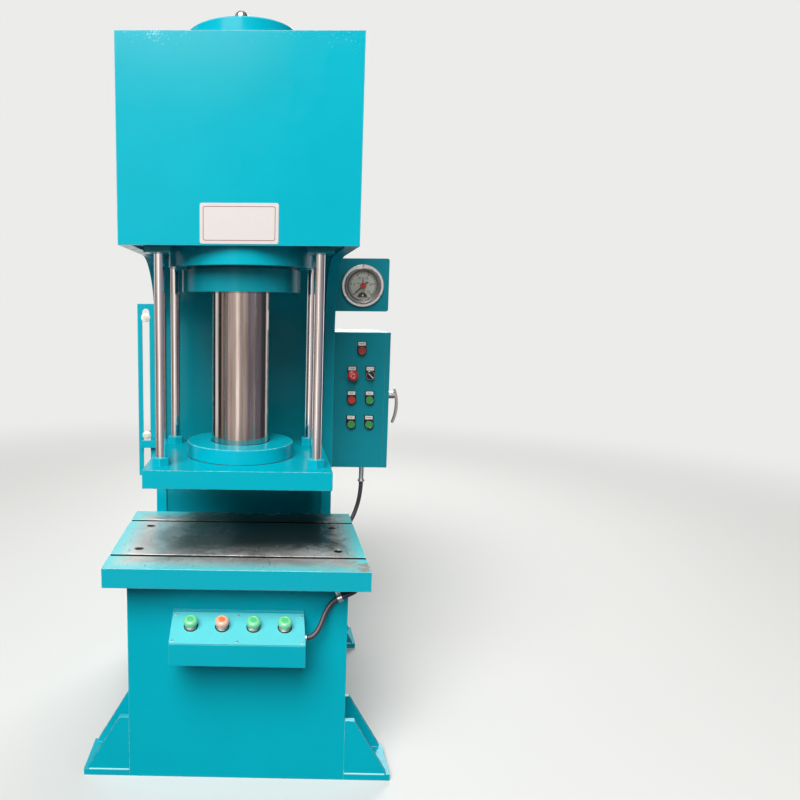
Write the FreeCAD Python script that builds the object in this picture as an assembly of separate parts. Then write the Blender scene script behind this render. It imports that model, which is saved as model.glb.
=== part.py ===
# Single-column hydraulic press with a C frame, four guide rods and a two-hand console.
# Millimetres. +Z is up, -Y is the front. The origin lies on the floor under the ram's axis.
import FreeCAD, Part
import math
import os

V = FreeCAD.Vector
X_AXIS, Y_AXIS, Z_AXIS = V(1, 0, 0), V(0, 1, 0), V(0, 0, 1)

# ---------------------------------------------------------------- driving dimensions
# Frame: two C-shaped side plates joined by cross plates.
frame_width = 645.0           # over the outer faces of the side plates
side_plate_t = 36.0
cover_t = 12.0                # front covers, throat wall and back plate
top_plate_t = 20.0
head_overhang = 231.0         # ram axis to the front of the head
base_overhang = 185.0         # ram axis to the front of the base
throat_depth = 391.0          # ram axis to the front edge of the column
throat_radius = 250.0         # upper corner of the throat
lower_radius = 20.0           # lower corner of the throat
wall_recess = 8.0             # the throat wall stands back from the side plates' edges
column_depth = 400.0
head_height = 540.0
daylight = 884.0              # table top to the underside of the head
mount_plate_t = 50.0          # plate inside the head that carries the cylinder
mount_plate_back = 240.0      # its rear edge, behind the ram axis
floor_plate_t = 12.0
support_t = 40.0              # cross plate under the table
fit_gap = 0.3                 # parts that are laid against each other without a weld

# Table.
table_top = 688.0             # height above the floor
table_side = 52.5             # table past the frame on each side
table_depth = 550.0
table_t = 57.0
t_slot_pitch = 334.0
t_slot_throat = 18.0
t_slot_head = 30.0
t_slot_head_h = 12.0
t_slot_depth = 30.0
table_screw_in = 24.5         # table screws to the side plates' outer faces
table_screw_y = 110.0
table_thread = 40.0           # length of thread in the side plates

# Feet: floor plate with two gussets each.
foot_reach = 139.5            # outwards from the side plate
foot_length = 150.0
foot_t = 20.0
gusset_t = 16.0
gusset_height = 190.0
gusset_top = 29.5             # width left at the top of a gusset
gusset_toe = 6.0              # height left at its outer end
foot_margin = 12.0            # the gusset stops short of the foot's outer edge
anchor_r = 11.0
anchor_inset = 62.0           # anchor hole to the outer edge of the foot

# Cylinder, hung under the mount plate by its flange.
annulus = 22.5                # ram to bore
barrel_wall = 40.0
barrel_flange_clear = 3.0     # from the inside of the head's front cover
barrel_flange_h = 69.0        # up to the mount plate
cap_lip = 10.0                # past the barrel
cap_h = 63.0
cap_spigot_h = 5.0
gland_lip = 26.5              # past the barrel
gland_h = 65.0
gland_neck_lip = 18.0         # neck above it, past the barrel
gland_neck_h = 6.0
gland_spigot_h = 8.0
bush_wall = 7.4               # bronze bush and wiper round the ram
wiper_h = 11.0
running_gap = 0.05            # radial clearance of everything that slides or turns
clear_gap = 0.5               # radial clearance of holes that only let something pass
plug_y = -95.0                # filler plug on the cap
plug_r = 19.5
plug_h = 37.0

# Ram and piston.
ram_r = 87.5
ram_spigot_step = 17.5        # shoulder that stands on the ram flange
piston_h = 66.0
piston_spigot_step = 32.5     # shoulder under the piston
stroke_down = 65.0            # from the position shown, with 435 upwards
stroke_spare = 5.0            # left at each end of the stroke
ram_flange_w = 75.0           # past the ram
ram_flange_h = 44.0

# Slide plate and its guide rods.
slide_width = 530.0
slide_depth = 470.0
slide_t = 52.0
slide_bottom = 906.0          # height above the floor in the position shown
rod_r = 15.0
rod_x = 221.5
rod_y = 167.5
rod_socket = 40.0             # depth of thread in the slide plate
nut_af = 46.0
nut_h = 24.0
bush_block = 75.0             # square flange of a guide bush
bush_block_h = 25.0
bush_sleeve_r = 23.0
tool_hole_r = 7.0             # tapped holes for the upper tool
tool_hole_depth = 30.0
tool_pitch_x = 360.0
tool_pitch_y = 300.0

# Socket screws, one size for cap, gland, flange and table.
screw_r = 8.0
screw_head_r = 12.0
screw_head_h = 16.0
screw_hole_gap = 0.5
cbore_r = 13.5
cbore_h = 17.0
flange_screw_out = 32.5       # ram to the circle of the ram flange's screws
ring_screws = 6               # on each bolt circle

# Limit-switch rail: a slotted angle on the left of the column.
rail_leg = 63.0
rail_t = 6.0
rail_bottom = 790.0
rail_top = 1418.0
slot_w = 26.0
slot_offset = 33.5            # slot centre to the side plate
slot_bottom = 812.0
slot_top = 1401.0
sensor_r = 9.0
sensor_length = 66.0
sensor_nose = 7.0             # sticks out of the rail's front
sensor_washer_r = 16.0
sensor_washer_t = 1.5
sensor_nut_af = 24.0
sensor_nut_h = 4.0
sensor_heights = (941.0, 1369.0)
arm_t = 8.0                   # trip arm, bent from flat bar
arm_h = 27.0
arm_drop = 9.0                # hangs below the slide plate's underside
arm_reach = 20.0              # past the slot's centre
arm_gap = 4.0                 # sensing gap
arm_grip = 85.0               # length bolted to the slide plate
arm_bend = 10.0
hex_af = 18.0
hex_h = 7.5
hex_r = 6.0
hex_grip = 22.0

# Gauge on a folded plate, right of the column.
gauge_plate_w = 186.5
gauge_plate_h = 185.0
gauge_plate_t = 4.0
gauge_plate_leg = 60.0
gauge_plate_z = 1490.0        # centre
gauge_plate_corner = 8.0
gauge_z = 1487.0
gauge_x = 93.5                # gauge centre to the side plate
gauge_ring_r = 74.0
gauge_window_r = 56.0
gauge_ring_h = 12.0
gauge_lip_h = 6.0             # outer lip of the ring
gauge_lip_w = 9.0
gauge_case_r = 61.0
gauge_case_depth = 52.0
gauge_wall = 3.0
gauge_flange_t = 4.0
glass_t = 2.5
dial_t = 1.5
pointer_reach = 43.0
pointer_angle = 135.0         # from straight up to the zero mark, turned to the left
pointer_hub_r = 6.0
spindle_r = 2.0

# Control box on the right of the column, with a side door.
box_width = 200.5
box_depth = 360.0
box_bottom = 830.0
box_height = 493.0
box_wall = 2.5
door_lip = 18.0
door_wall = 2.0
door_gap = 0.5
box_rim = 14.0                # folded rim round the box's opening
hinge_r = 5.0
hinge_pin_r = 2.5
hinge_leaf_t = 2.5
hinge_h = 60.0
hinge_off = 6.0               # axis behind the box's rear face
hinge_inset = 90.0            # from the box's top and bottom
latch_z = 1093.0
latch_inset = 39.0            # behind the box's front face
latch_shaft_r = 8.0
latch_boss_r = 12.0
latch_boss_h = 26.0
lever_w = 22.0
lever_t = 8.0
lever_up = 26.0
lever_down = 101.0
lever_bow = 9.0
latch_shaft_in = 26.0         # behind the door's face

# Operators on the front of the control box.
column_pitch = 65.0
row_pitch = 89.0
top_row_z = 1258.0
operator_x = 98.0             # middle of the two columns to the side plate
bezel_r = 16.5
bezel_h = 9.0
bezel_tube_r = 11.0
bezel_tube_l = 42.0
cap_r_small = 13.2
lens_rim = 2.2                # raised rim round a cap's dish
lens_dish = 1.0
cap_proud = 2.5
press_travel = 4.0
legend_w = 34.0
legend_t = 2.0
legend_above = 33.0
mushroom_r = 20.0
mushroom_h = 15.0
mushroom_round = 9.0          # from the side into the flat top
mushroom_dish = 0.8           # recess in the top
selector_angle = 45.0

# Two-hand console on the front of the base.
console_width = 380.0
console_x = 4.5               # centre
console_reach = 115.0
console_bottom = 418.0
console_front_top = 484.0
console_back_top = 534.0
console_wall = 2.0
console_panel_t = 3.0
console_panel_start = 12.0    # along the slope, from the base
palm_pitch = 89.0
palm_along = 64.0             # along the slope, from the base
palm_stem_r = 8.0
palm_travel = 5.0
palm_spare = 1.0              # left between head and collar when pressed
collar_r = 14.0
collar_h = 10.0
collar_base_r = 18.0
collar_base_h = 3.5

# Conduit from the control box, under the table's overhang, to the console.
conduit_r = 7.8
conduit_nut_r = 13.0
conduit_drop = 66.0           # straight coupling under the control box
conduit_side = 6.0            # ring on the console's side
conduit_sleeve_r = 8.6
conduit_ring_t = 5.0
conduit_out = 117.5           # coupling to the side plate
conduit_in = 59.0             # coupling behind the column's front
conduit_lane = 22.0           # run under the table, off the side plate
conduit_off = 10.2            # centre line off the base's front
conduit_depth = 50.0          # run below the table's underside
conduit_end_y = 52.0          # ring on the console, in front of the base
conduit_end_z = 58.0          # and above its floor
clip_w = 14.0
clip_t = 1.5
clip_ear = 8.0
clip_gap = 0.4

# Hydraulic power unit inside the rear of the base.
tank_width = 500.0
tank_depth = 300.0
tank_height = 360.0
tank_wall = 4.0
motor_r = 95.0
motor_h = 260.0
motor_fins = 8
motor_fin_h = 8.0
motor_fin_t = 5.0
motor_x = -110.0
pump_r = 55.0
pump_h = 120.0
valve_w = 150.0
valve_d = 110.0
valve_h = 120.0
valve_x = 130.0
coil_r = 22.0
coil_l = 60.0

# Rear service door.
door_open_w = 460.0
door_open_h = 740.0
door_open_bottom = 60.0
rear_door_lap = 15.0
rear_door_t = 3.0
louvre_count = 8
louvre_w = 260.0
louvre_h = 8.0
louvre_pitch = 24.0
rear_hinge_off = 7.0          # axis behind the back plate's face
handle_w = 110.0
handle_out = 30.0
handle_bar = 10.0

# Bare plate on the head's front.
label_w = 209.0
label_h = 106.0
label_t = 1.0
label_z = 57.0                # centre above the head's lower edge
label_x = 1.5

# ---------------------------------------------------------------- derived places
half = frame_width / 2
inner = half - side_plate_t
table_width = frame_width + 2 * table_side
table_screw_x = half - table_screw_in
bore_r = ram_r + annulus
barrel_r = bore_r + barrel_wall
barrel_flange_r = head_overhang - cover_t - barrel_flange_clear
cap_r = barrel_r + cap_lip
gland_r = barrel_r + gland_lip
gland_neck_r = barrel_r + gland_neck_lip
cap_screw_pcr = bore_r + barrel_wall / 2
gland_screw_pcr = barrel_r
ram_spigot_r = ram_r - ram_spigot_step
piston_spigot_r = ram_r - piston_spigot_step
ram_flange_r = ram_r + ram_flange_w
flange_screw_pcr = ram_r + flange_screw_out
column_front = throat_depth
wall_front = throat_depth + wall_recess
back_y = throat_depth + column_depth
plate_back = back_y - cover_t
head_front = -head_overhang
base_front = -base_overhang
base_top = table_top - table_t
head_bottom = table_top + daylight
head_top = head_bottom + head_height
ceiling = head_bottom + wall_recess          # underside of the plate that closes the head
mount_bottom = ceiling + cover_t
mount_top = mount_bottom + mount_plate_t
arc_y = throat_depth - throat_radius
arc_z = head_bottom - throat_radius

barrel_bottom = mount_bottom - barrel_flange_h
gland_top = barrel_bottom - gland_neck_h
gland_bottom = gland_top - gland_h
chamber_bottom = barrel_bottom + gland_spigot_h
slide_top = slide_bottom + slide_t
flange_top = slide_top + ram_flange_h
piston_bottom = chamber_bottom + stroke_spare + stroke_down
rod_top = mount_top + stroke_down + stroke_spare
rod_places = [(sx * rod_x, sy * rod_y) for sy in (-1, 1) for sx in (-1, 1)]


# ---------------------------------------------------------------- helpers
def block(x0, x1, y0, y1, z0, z1):
    """A box between two corners."""
    return Part.makeBox(x1 - x0, y1 - y0, z1 - z0, V(x0, y0, z0))


def bar(r, start, direction, length):
    """A round bar from a point along a direction."""
    return Part.makeCylinder(r, length, start, direction)


def outline(*steps):
    """A closed wire. A step is an end point, or (middle point, end point) for an arc."""
    last = steps[-1][1] if isinstance(steps[-1], tuple) else steps[-1]
    edges, here = [], last
    for step in steps:
        if isinstance(step, tuple):
            edges.append(Part.Arc(here, step[0], step[1]).toShape())
            here = step[1]
        else:
            if (step - here).Length > 1e-6:
                edges.append(Part.LineSegment(here, step).toShape())
            here = step
    return Part.Wire(edges)


def prism(wire, push):
    """The wire's face pushed along a vector."""
    return Part.Face(wire).extrude(push)


def turned(profile, centre=V(0, 0, 0), axis=Z_AXIS):
    """A solid turned about an axis from (radius, height) corners."""
    points = [V(r, 0, h) for r, h in profile]
    solid = Part.Face(outline(*points)).revolve(V(0, 0, 0), Z_AXIS, 360)
    return placed(solid, centre, axis)


def placed(shape, centre, axis=Z_AXIS):
    """The shape with its origin at a point and its +Z along an axis."""
    result = shape.copy()
    result.Placement = FreeCAD.Placement(centre, FreeCAD.Rotation(Z_AXIS, axis))
    return result


def hexagon(flats, height):
    """A hexagonal prism on the origin."""
    corner = flats / math.sqrt(3)
    points = [V(corner * math.sin(k * math.pi / 3), -corner * math.cos(k * math.pi / 3), 0)
              for k in range(6)]
    return prism(outline(*points), V(0, 0, height))


def circle_places(radius, count, first=0.5):
    """Points evenly spaced on a circle about the ram's axis."""
    turn = 2 * math.pi / count
    return [(radius * math.cos((k + first) * turn), radius * math.sin((k + first) * turn))
            for k in range(count)]


def fused(shapes):
    """One solid of several that meet."""
    return shapes[0].multiFuse(shapes[1:]).removeSplitter()


def dome(r, low, high):
    """Arc step from the rim (r, low) to the axis at the height of the top, part of a sphere."""
    rise = high - low
    radius = (r * r + rise * rise) / (2 * rise)
    centre, turn = high - radius, math.asin(min(1.0, r / radius)) / 2
    return (V(radius * math.sin(turn), 0, centre + radius * math.cos(turn)), V(0, 0, high))


def socket_screw(grip):
    """A cylinder head screw, its head on the origin and its shank along -Z."""
    return fused([bar(screw_head_r, V(0, 0, 0), Z_AXIS, screw_head_h),
                  bar(screw_r, V(0, 0, -grip), Z_AXIS, grip)])


def with_screw_heads(plate, places, face, way):
    """The plate with counterbores in one face, each filled by the head of its screw."""
    pockets = [bar(cbore_r, V(x, y, face + way), V(0, 0, -way), cbore_h + 1) for x, y in places]
    heads = [bar(screw_head_r, V(x, y, face - way * cbore_h), V(0, 0, way), screw_head_h)
             for x, y in places]
    return fused([plate.cut(pockets)] + heads)


def hex_bolt():
    """A hexagon bolt, its head on the origin and its shank along -Z."""
    head = hexagon(hex_af, hex_h)
    return fused([head, bar(hex_r, V(0, 0, -hex_grip), Z_AXIS, hex_grip)])


# ---------------------------------------------------------------- frame
def side_plate(x0):
    """One C-shaped plate with its throat."""
    front_head, front_base = head_front + cover_t, base_front + cover_t
    bevel = math.sqrt(0.5)
    wire = outline(
        V(x0, front_base, 0), V(x0, plate_back, 0), V(x0, plate_back, head_top - top_plate_t),
        V(x0, front_head, head_top - top_plate_t), V(x0, front_head, head_bottom),
        V(x0, arc_y, head_bottom),
        (V(x0, arc_y + throat_radius * bevel, arc_z + throat_radius * bevel),
         V(x0, column_front, arc_z)),
        V(x0, column_front, base_top + lower_radius),
        (V(x0, column_front - lower_radius * (1 - bevel), base_top + lower_radius * (1 - bevel)),
         V(x0, column_front - lower_radius, base_top)),
        V(x0, front_base, base_top), V(x0, front_base, 0))
    return prism(wire, V(side_plate_t, 0, 0))


def label_plate():
    """Thin bare plate with rounded corners."""
    z = head_bottom + label_z
    plate = block(label_x - label_w / 2, label_x + label_w / 2, head_front - label_t, head_front,
                  z - label_h / 2, z + label_h / 2)
    return plate.makeFillet(6.0, [e for e in plate.Edges if is_along(e, Y_AXIS)])


def throat_sheet():
    """The bent plate that closes the head from below and the column from the front."""
    bevel = math.sqrt(0.5)
    near, far = throat_radius + wall_recess, throat_radius + wall_recess + cover_t
    front = head_front + cover_t
    wire = outline(
        V(-inner, front, ceiling), V(-inner, arc_y, ceiling),
        (V(-inner, arc_y + near * bevel, arc_z + near * bevel), V(-inner, wall_front, arc_z)),
        V(-inner, wall_front, floor_plate_t), V(-inner, wall_front + cover_t, floor_plate_t),
        V(-inner, wall_front + cover_t, arc_z),
        (V(-inner, arc_y + far * bevel, arc_z + far * bevel),
         V(-inner, arc_y, ceiling + cover_t)),
        V(-inner, front, ceiling + cover_t), V(-inner, front, ceiling))
    return prism(wire, V(2 * inner, 0, 0))


def head_holes(z0, z1, rod_hole_r):
    """What passes through the head's plates: the barrel and the four guides."""
    height = z1 - z0
    holes = [bar(barrel_r + clear_gap, V(0, 0, z0), Z_AXIS, height)]
    holes += [bar(rod_hole_r, V(x, y, z0), Z_AXIS, height) for x, y in rod_places]
    return holes


def frame_parts():
    front_head, front_base = head_front + cover_t, base_front + cover_t
    sleeve_hole = bush_sleeve_r + running_gap
    holes = head_holes(arc_z + throat_radius * 0.8, mount_bottom + 1, sleeve_hole)
    holes.append(bar(barrel_flange_r + clear_gap, V(0, 0, arc_z + throat_radius * 0.8), Z_AXIS,
                     mount_bottom + 1 - arc_z - throat_radius * 0.8))
    wall = throat_sheet().cut(holes)
    mount = block(-inner, inner, front_head, mount_plate_back, mount_bottom, mount_top)
    mount = mount.cut(head_holes(mount_bottom - 1, mount_top + 1, sleeve_hole))
    top = block(-half, half, front_head, plate_back, head_top - top_plate_t, head_top)
    top = top.cut(head_holes(head_top - top_plate_t - 1, head_top + 1, rod_r + 5))
    back = block(-half, half, plate_back, back_y, 0, head_top)
    back = back.cut(block(-door_open_w / 2, door_open_w / 2, plate_back - 1, back_y + 1,
                          door_open_bottom, door_open_bottom + door_open_h))
    hinges = [hinge_half(rear_hinge_axis(), z, False, back_y, 30.0) for z in rear_hinge_heights()]
    support = block(-inner, inner, front_base, wall_front, base_top - support_t, base_top)
    return {
        "side_plate_left": tapped_side(side_plate(-half), -1),
        "side_plate_right": tapped_side(side_plate(inner), 1),
        "head_front_cover": block(-half, half, head_front, front_head, head_bottom, head_top),
        "head_top_plate": top,
        "cylinder_mount_plate": mount,
        "throat_wall": wall,
        "back_plate": fused([back] + hinges),
        "base_front_panel": block(-half, half, base_front, front_base, 0, base_top),
        "base_floor_plate": block(-inner, inner, front_base, plate_back, 0, floor_plate_t),
        "table_support": support,
        "label_plate": label_plate(),
    }


def tapped_side(plate, side):
    """Threaded holes for the table's screws and for the bolts of what hangs on the side."""
    holes = [bar(screw_r + running_gap, V(side * table_screw_x, y, base_top - table_thread),
                 Z_AXIS, table_thread + 1) for y in (-table_screw_y, table_screw_y)]
    for sign, centre in hex_places():
        if sign == side:
            start = V(side * (half + 1), centre.y, centre.z)
            holes.append(bar(hex_r + running_gap, start, V(-side, 0, 0), hex_grip))
    return plate.cut(holes)


def hex_places():
    """Bolts through the rail's side leg and the gauge plate's side leg: (side, point)."""
    rail_y = column_front + rail_leg * 0.6
    rail_z = [rail_bottom + 60, (rail_bottom + rail_top) / 2, rail_top - 60]
    places = [(-1, V(-half - rail_t, rail_y, z)) for z in rail_z]
    gauge_y = gauge_front() + gauge_plate_leg * 0.6
    for dz in (-gauge_plate_h / 3, gauge_plate_h / 3):
        places.append((1, V(half + gauge_plate_t, gauge_y, gauge_plate_z + dz)))
    return places


# ---------------------------------------------------------------- table
def bolster_table():
    half_w, half_d = table_width / 2, table_depth / 2
    body = block(-half_w, half_w, -half_d, half_d, base_top, table_top)
    cuts = []
    for y in (-t_slot_pitch / 2, t_slot_pitch / 2):
        head_z = table_top - t_slot_depth
        neck, head = t_slot_throat / 2, t_slot_head / 2
        wire = outline(
            V(-half_w - 1, y - neck, table_top + 1), V(-half_w - 1, y + neck, table_top + 1),
            V(-half_w - 1, y + neck, head_z + t_slot_head_h),
            V(-half_w - 1, y + head, head_z + t_slot_head_h), V(-half_w - 1, y + head, head_z),
            V(-half_w - 1, y - head, head_z), V(-half_w - 1, y - head, head_z + t_slot_head_h),
            V(-half_w - 1, y - neck, head_z + t_slot_head_h),
            V(-half_w - 1, y - neck, table_top + 1))
        cuts.append(prism(wire, V(table_width + 2, 0, 0)))
    for x, y in table_screw_places():
        cuts.append(bar(screw_r + screw_hole_gap, V(x, y, base_top - 1), Z_AXIS, table_t + 2))
        cuts.append(bar(cbore_r, V(x, y, table_top - cbore_h), Z_AXIS, cbore_h + 1))
    return body.cut(cuts)


def table_screw_places():
    return [(sx * table_screw_x, sy * table_screw_y) for sx in (-1, 1) for sy in (-1, 1)]


# ---------------------------------------------------------------- feet
def foot(side, y0):
    """Floor plate with an anchor hole and a gusset at each end."""
    near, far = side * half, side * (half + foot_reach)
    plate = block(min(near, far), max(near, far), y0, y0 + foot_length, 0, foot_t)
    plate = plate.cut(bar(anchor_r, V(far - side * anchor_inset, y0 + foot_length / 2, -1),
                          Z_AXIS, foot_t + 2))
    toe = far - side * foot_margin
    pieces = [plate]
    for y in (y0, y0 + foot_length - gusset_t):
        wire = outline(V(near, y, foot_t), V(toe, y, foot_t), V(toe, y, foot_t + gusset_toe),
                       V(near + side * gusset_top, y, gusset_height), V(near, y, gusset_height),
                       V(near, y, foot_t))
        pieces.append(prism(wire, V(0, gusset_t, 0)))
    return fused(pieces)


def feet():
    """Four feet, two at the front and two at the rear."""
    rows = (base_front, back_y - foot_length)
    return Part.makeCompound([foot(side, y) for y in rows for side in (-1, 1)])


# ---------------------------------------------------------------- cylinder
def cylinder_parts():
    barrel = turned([(bore_r, barrel_bottom), (barrel_flange_r, barrel_bottom),
                     (barrel_flange_r, mount_bottom), (barrel_r, mount_bottom), (barrel_r, head_top),
                     (bore_r, head_top), (bore_r, barrel_bottom)])
    cap_top, bevel = head_top + cap_h, 3.0
    cap = turned([(0, head_top - cap_spigot_h), (bore_r - running_gap, head_top - cap_spigot_h),
                  (bore_r - running_gap, head_top), (cap_r, head_top), (cap_r, cap_top - bevel),
                  (cap_r - bevel, cap_top), (0, cap_top), (0, head_top - cap_spigot_h)])

    neck, step, rim = plug_r * 0.8, 6.0, plug_h * 0.55
    profile = outline(V(0, 0, 0), V(neck, 0, 0), V(neck, 0, step), V(plug_r, 0, step),
                      V(plug_r, 0, rim), dome(plug_r, rim, plug_h), V(0, 0, 0))
    plug = Part.Face(profile).revolve(V(0, 0, 0), Z_AXIS, 360)

    # The bush and, below it, the wiper fill the gland's bore.
    bush_r = ram_r + bush_wall
    gland = turned([(bush_r, gland_bottom), (gland_r, gland_bottom), (gland_r, gland_top),
                    (gland_neck_r, gland_top), (gland_neck_r, barrel_bottom),
                    (bore_r - running_gap, barrel_bottom), (bore_r - running_gap, chamber_bottom),
                    (bush_r, chamber_bottom), (bush_r, gland_bottom)])
    slip, seat = ram_r + running_gap, gland_bottom + wiper_h
    rings = []
    for low, high in ((gland_bottom, seat), (seat, chamber_bottom)):
        rings.append(turned([(slip, low), (bush_r - running_gap, low),
                             (bush_r - running_gap, high), (slip, high), (slip, low)]))
    return {
        "cylinder_barrel": barrel,
        "cylinder_cap": with_screw_heads(cap, circle_places(cap_screw_pcr, ring_screws, 0),
                                         cap_top, 1),
        "filler_plug": placed(plug, V(0, plug_y, cap_top)),
        "gland_ring": with_screw_heads(gland, circle_places(gland_screw_pcr, ring_screws, 0),
                                       gland_bottom, -1),
        "gland_bush": Part.makeCompound(rings),
    }


def guide_bush(x, y):
    """Square flange under the head with a sleeve up through its plates."""
    side, low = bush_block / 2, ceiling - bush_block_h
    flange = block(x - side, x + side, y - side, y + side, low, ceiling)
    flange = flange.makeChamfer(3.0, [e for e in flange.Edges if is_along(e, Z_AXIS)])
    flange = flange.cut(throat_sheet())
    sleeve = bar(bush_sleeve_r, V(x, y, low + 1), Z_AXIS, mount_top - low - 1)
    bore = bar(rod_r + running_gap, V(x, y, low - 1), Z_AXIS, mount_top - low + 2)
    return fused([flange, sleeve]).cut(bore)


def guide_bushes():
    return Part.makeCompound([guide_bush(x, y) for x, y in rod_places])


def is_along(edge, axis):
    """True for an edge parallel to an axis."""
    way = edge.Vertexes[-1].Point - edge.Vertexes[0].Point
    return way.Length > 1e-6 and way.cross(axis).Length < 1e-6 * way.Length


# ---------------------------------------------------------------- ram, slide and rods
def ram_parts():
    socket_z = slide_top + 4
    ram = turned([(0, socket_z), (ram_spigot_r, socket_z), (ram_spigot_r, flange_top),
                  (ram_r, flange_top), (ram_r, piston_bottom), (piston_spigot_r, piston_bottom),
                  (piston_spigot_r, piston_bottom + piston_h), (0, piston_bottom + piston_h),
                  (0, socket_z)])
    outer, inner_r = bore_r - running_gap, piston_spigot_r + running_gap
    top = piston_bottom + piston_h
    piston = turned([(inner_r, piston_bottom), (outer, piston_bottom), (outer, top), (inner_r, top),
                     (inner_r, piston_bottom)])
    bevel = 1.5
    flange = turned([(ram_spigot_r + running_gap, slide_top), (ram_flange_r, slide_top),
                     (ram_flange_r, flange_top - bevel), (ram_flange_r - bevel, flange_top),
                     (ram_spigot_r + running_gap, flange_top),
                     (ram_spigot_r + running_gap, slide_top)])
    return {"ram": ram, "piston": piston, "ram_flange": flange, "slide_plate": slide_plate()}


def slide_plate():
    half_w, half_d = slide_width / 2, slide_depth / 2
    body = block(-half_w, half_w, -half_d, half_d, slide_bottom, slide_top)
    cuts = []
    for x, y in rod_places:
        cuts.append(bar(rod_r + running_gap, V(x, y, slide_top - rod_socket), Z_AXIS, rod_socket + 1))
    for sx in (-1, 1):
        for sy in (-1, 1):
            at = V(sx * tool_pitch_x / 2, sy * tool_pitch_y / 2, slide_bottom - 1)
            cuts.append(bar(tool_hole_r, at, Z_AXIS, tool_hole_depth + 1))
    for place in arm_bolt_places():
        cuts.append(bar(hex_r + running_gap, V(-half_w - 1, place.y, place.z), X_AXIS, hex_grip))
    return with_screw_heads(body.cut(cuts), circle_places(flange_screw_pcr, ring_screws, 0),
                            slide_bottom, -1)


def guide_rods():
    """Four ground rods with a bevelled top."""
    bottom = slide_top - rod_socket
    rods = []
    for x, y in rod_places:
        rods.append(turned([(0, bottom), (rod_r, bottom), (rod_r, rod_top - 2), (rod_r - 2, rod_top),
                            (0, rod_top), (0, bottom)], V(x, y, 0)))
    return Part.makeCompound(rods)


def rod_nuts():
    nuts = []
    for x, y in rod_places:
        nut = hexagon(nut_af, nut_h).cut(bar(rod_r + running_gap, V(0, 0, -1), Z_AXIS, nut_h + 2))
        nuts.append(placed(nut, V(x, y, slide_top)))
    return Part.makeCompound(nuts)


# ---------------------------------------------------------------- limit switches
def rail_slot_x():
    return -half - slot_offset


def switch_rail():
    """Angle with a long slot in its front leg."""
    x_out, x_in = -half - rail_leg, -half
    y_front = column_front
    wire = outline(V(x_out, y_front, rail_bottom), V(x_in, y_front, rail_bottom),
                   V(x_in, y_front + rail_leg, rail_bottom),
                   V(x_in - rail_t, y_front + rail_leg, rail_bottom),
                   V(x_in - rail_t, y_front + rail_t, rail_bottom),
                   V(x_out, y_front + rail_t, rail_bottom), V(x_out, y_front, rail_bottom))
    angle = prism(wire, V(0, 0, rail_top - rail_bottom))
    x, r = rail_slot_x(), slot_w / 2
    slot = outline(V(x - r, y_front - 1, slot_bottom + r),
                   (V(x, y_front - 1, slot_bottom), V(x + r, y_front - 1, slot_bottom + r)),
                   V(x + r, y_front - 1, slot_top - r),
                   (V(x, y_front - 1, slot_top), V(x - r, y_front - 1, slot_top - r)),
                   V(x - r, y_front - 1, slot_bottom + r))
    cuts = [prism(slot, V(0, rail_t + 2, 0))]
    for side, at in hex_places():
        if side < 0:
            cuts.append(bar(hex_r + screw_hole_gap, V(at.x - 1, at.y, at.z), X_AXIS, rail_t + 2))
    return angle.cut(cuts)


def sensor(z):
    """Round proximity switch clamped in the slot by two nuts, with a washer in front."""
    x, y = rail_slot_x(), column_front
    front = V(0, -1, 0)
    body = bar(sensor_r, V(x, y - sensor_nose, z), Y_AXIS, sensor_length)
    washer = bar(sensor_washer_r, V(x, y, z), front, sensor_washer_t)
    nuts = [placed(hexagon(sensor_nut_af, sensor_nut_h), V(x, y - sensor_washer_t, z), front),
            placed(hexagon(sensor_nut_af, sensor_nut_h), V(x, y + rail_t, z), Y_AXIS)]
    return fused([body, washer] + nuts)


def proximity_sensors():
    return Part.makeCompound([sensor(z) for z in sensor_heights])


def arm_bolt_places():
    """Bolts through the arm into the slide plate's left side."""
    x = -slide_width / 2 - arm_t
    z = slide_bottom + (arm_h - arm_drop) / 2
    start, margin = slide_depth / 2 - arm_grip, 18.0
    return [V(x, start + d, z) for d in (margin, arm_grip - margin)]


def trip_arm():
    """Flat bar along the slide plate's left side, bent to pass in front of the sensors."""
    face = -slide_width / 2
    y_start = slide_depth / 2 - arm_grip
    y_end = column_front - sensor_nose - arm_gap
    x_end = rail_slot_x() - arm_reach
    outer_r, inner_r, c = arm_bend + arm_t, arm_bend, math.sqrt(0.5)
    z = slide_bottom - arm_drop
    cx, cy = face - arm_t - inner_r, y_end - outer_r
    wire = outline(
        V(face, y_start, z), V(face, cy, z),
        (V(cx + outer_r * c, cy + outer_r * c, z), V(cx, y_end, z)),
        V(x_end, y_end, z), V(x_end, y_end - arm_t, z), V(cx, y_end - arm_t, z),
        (V(cx + inner_r * c, cy + inner_r * c, z), V(face - arm_t, cy, z)),
        V(face - arm_t, y_start, z), V(face, y_start, z))
    arm = prism(wire, V(0, 0, arm_h))
    holes = [bar(hex_r + screw_hole_gap, V(at.x - 1, at.y, at.z), X_AXIS, arm_t + 2)
             for at in arm_bolt_places()]
    return arm.cut(holes)


# ---------------------------------------------------------------- gauge
def gauge_front():
    """Front face of the gauge plate."""
    return column_front - 6.0


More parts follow.
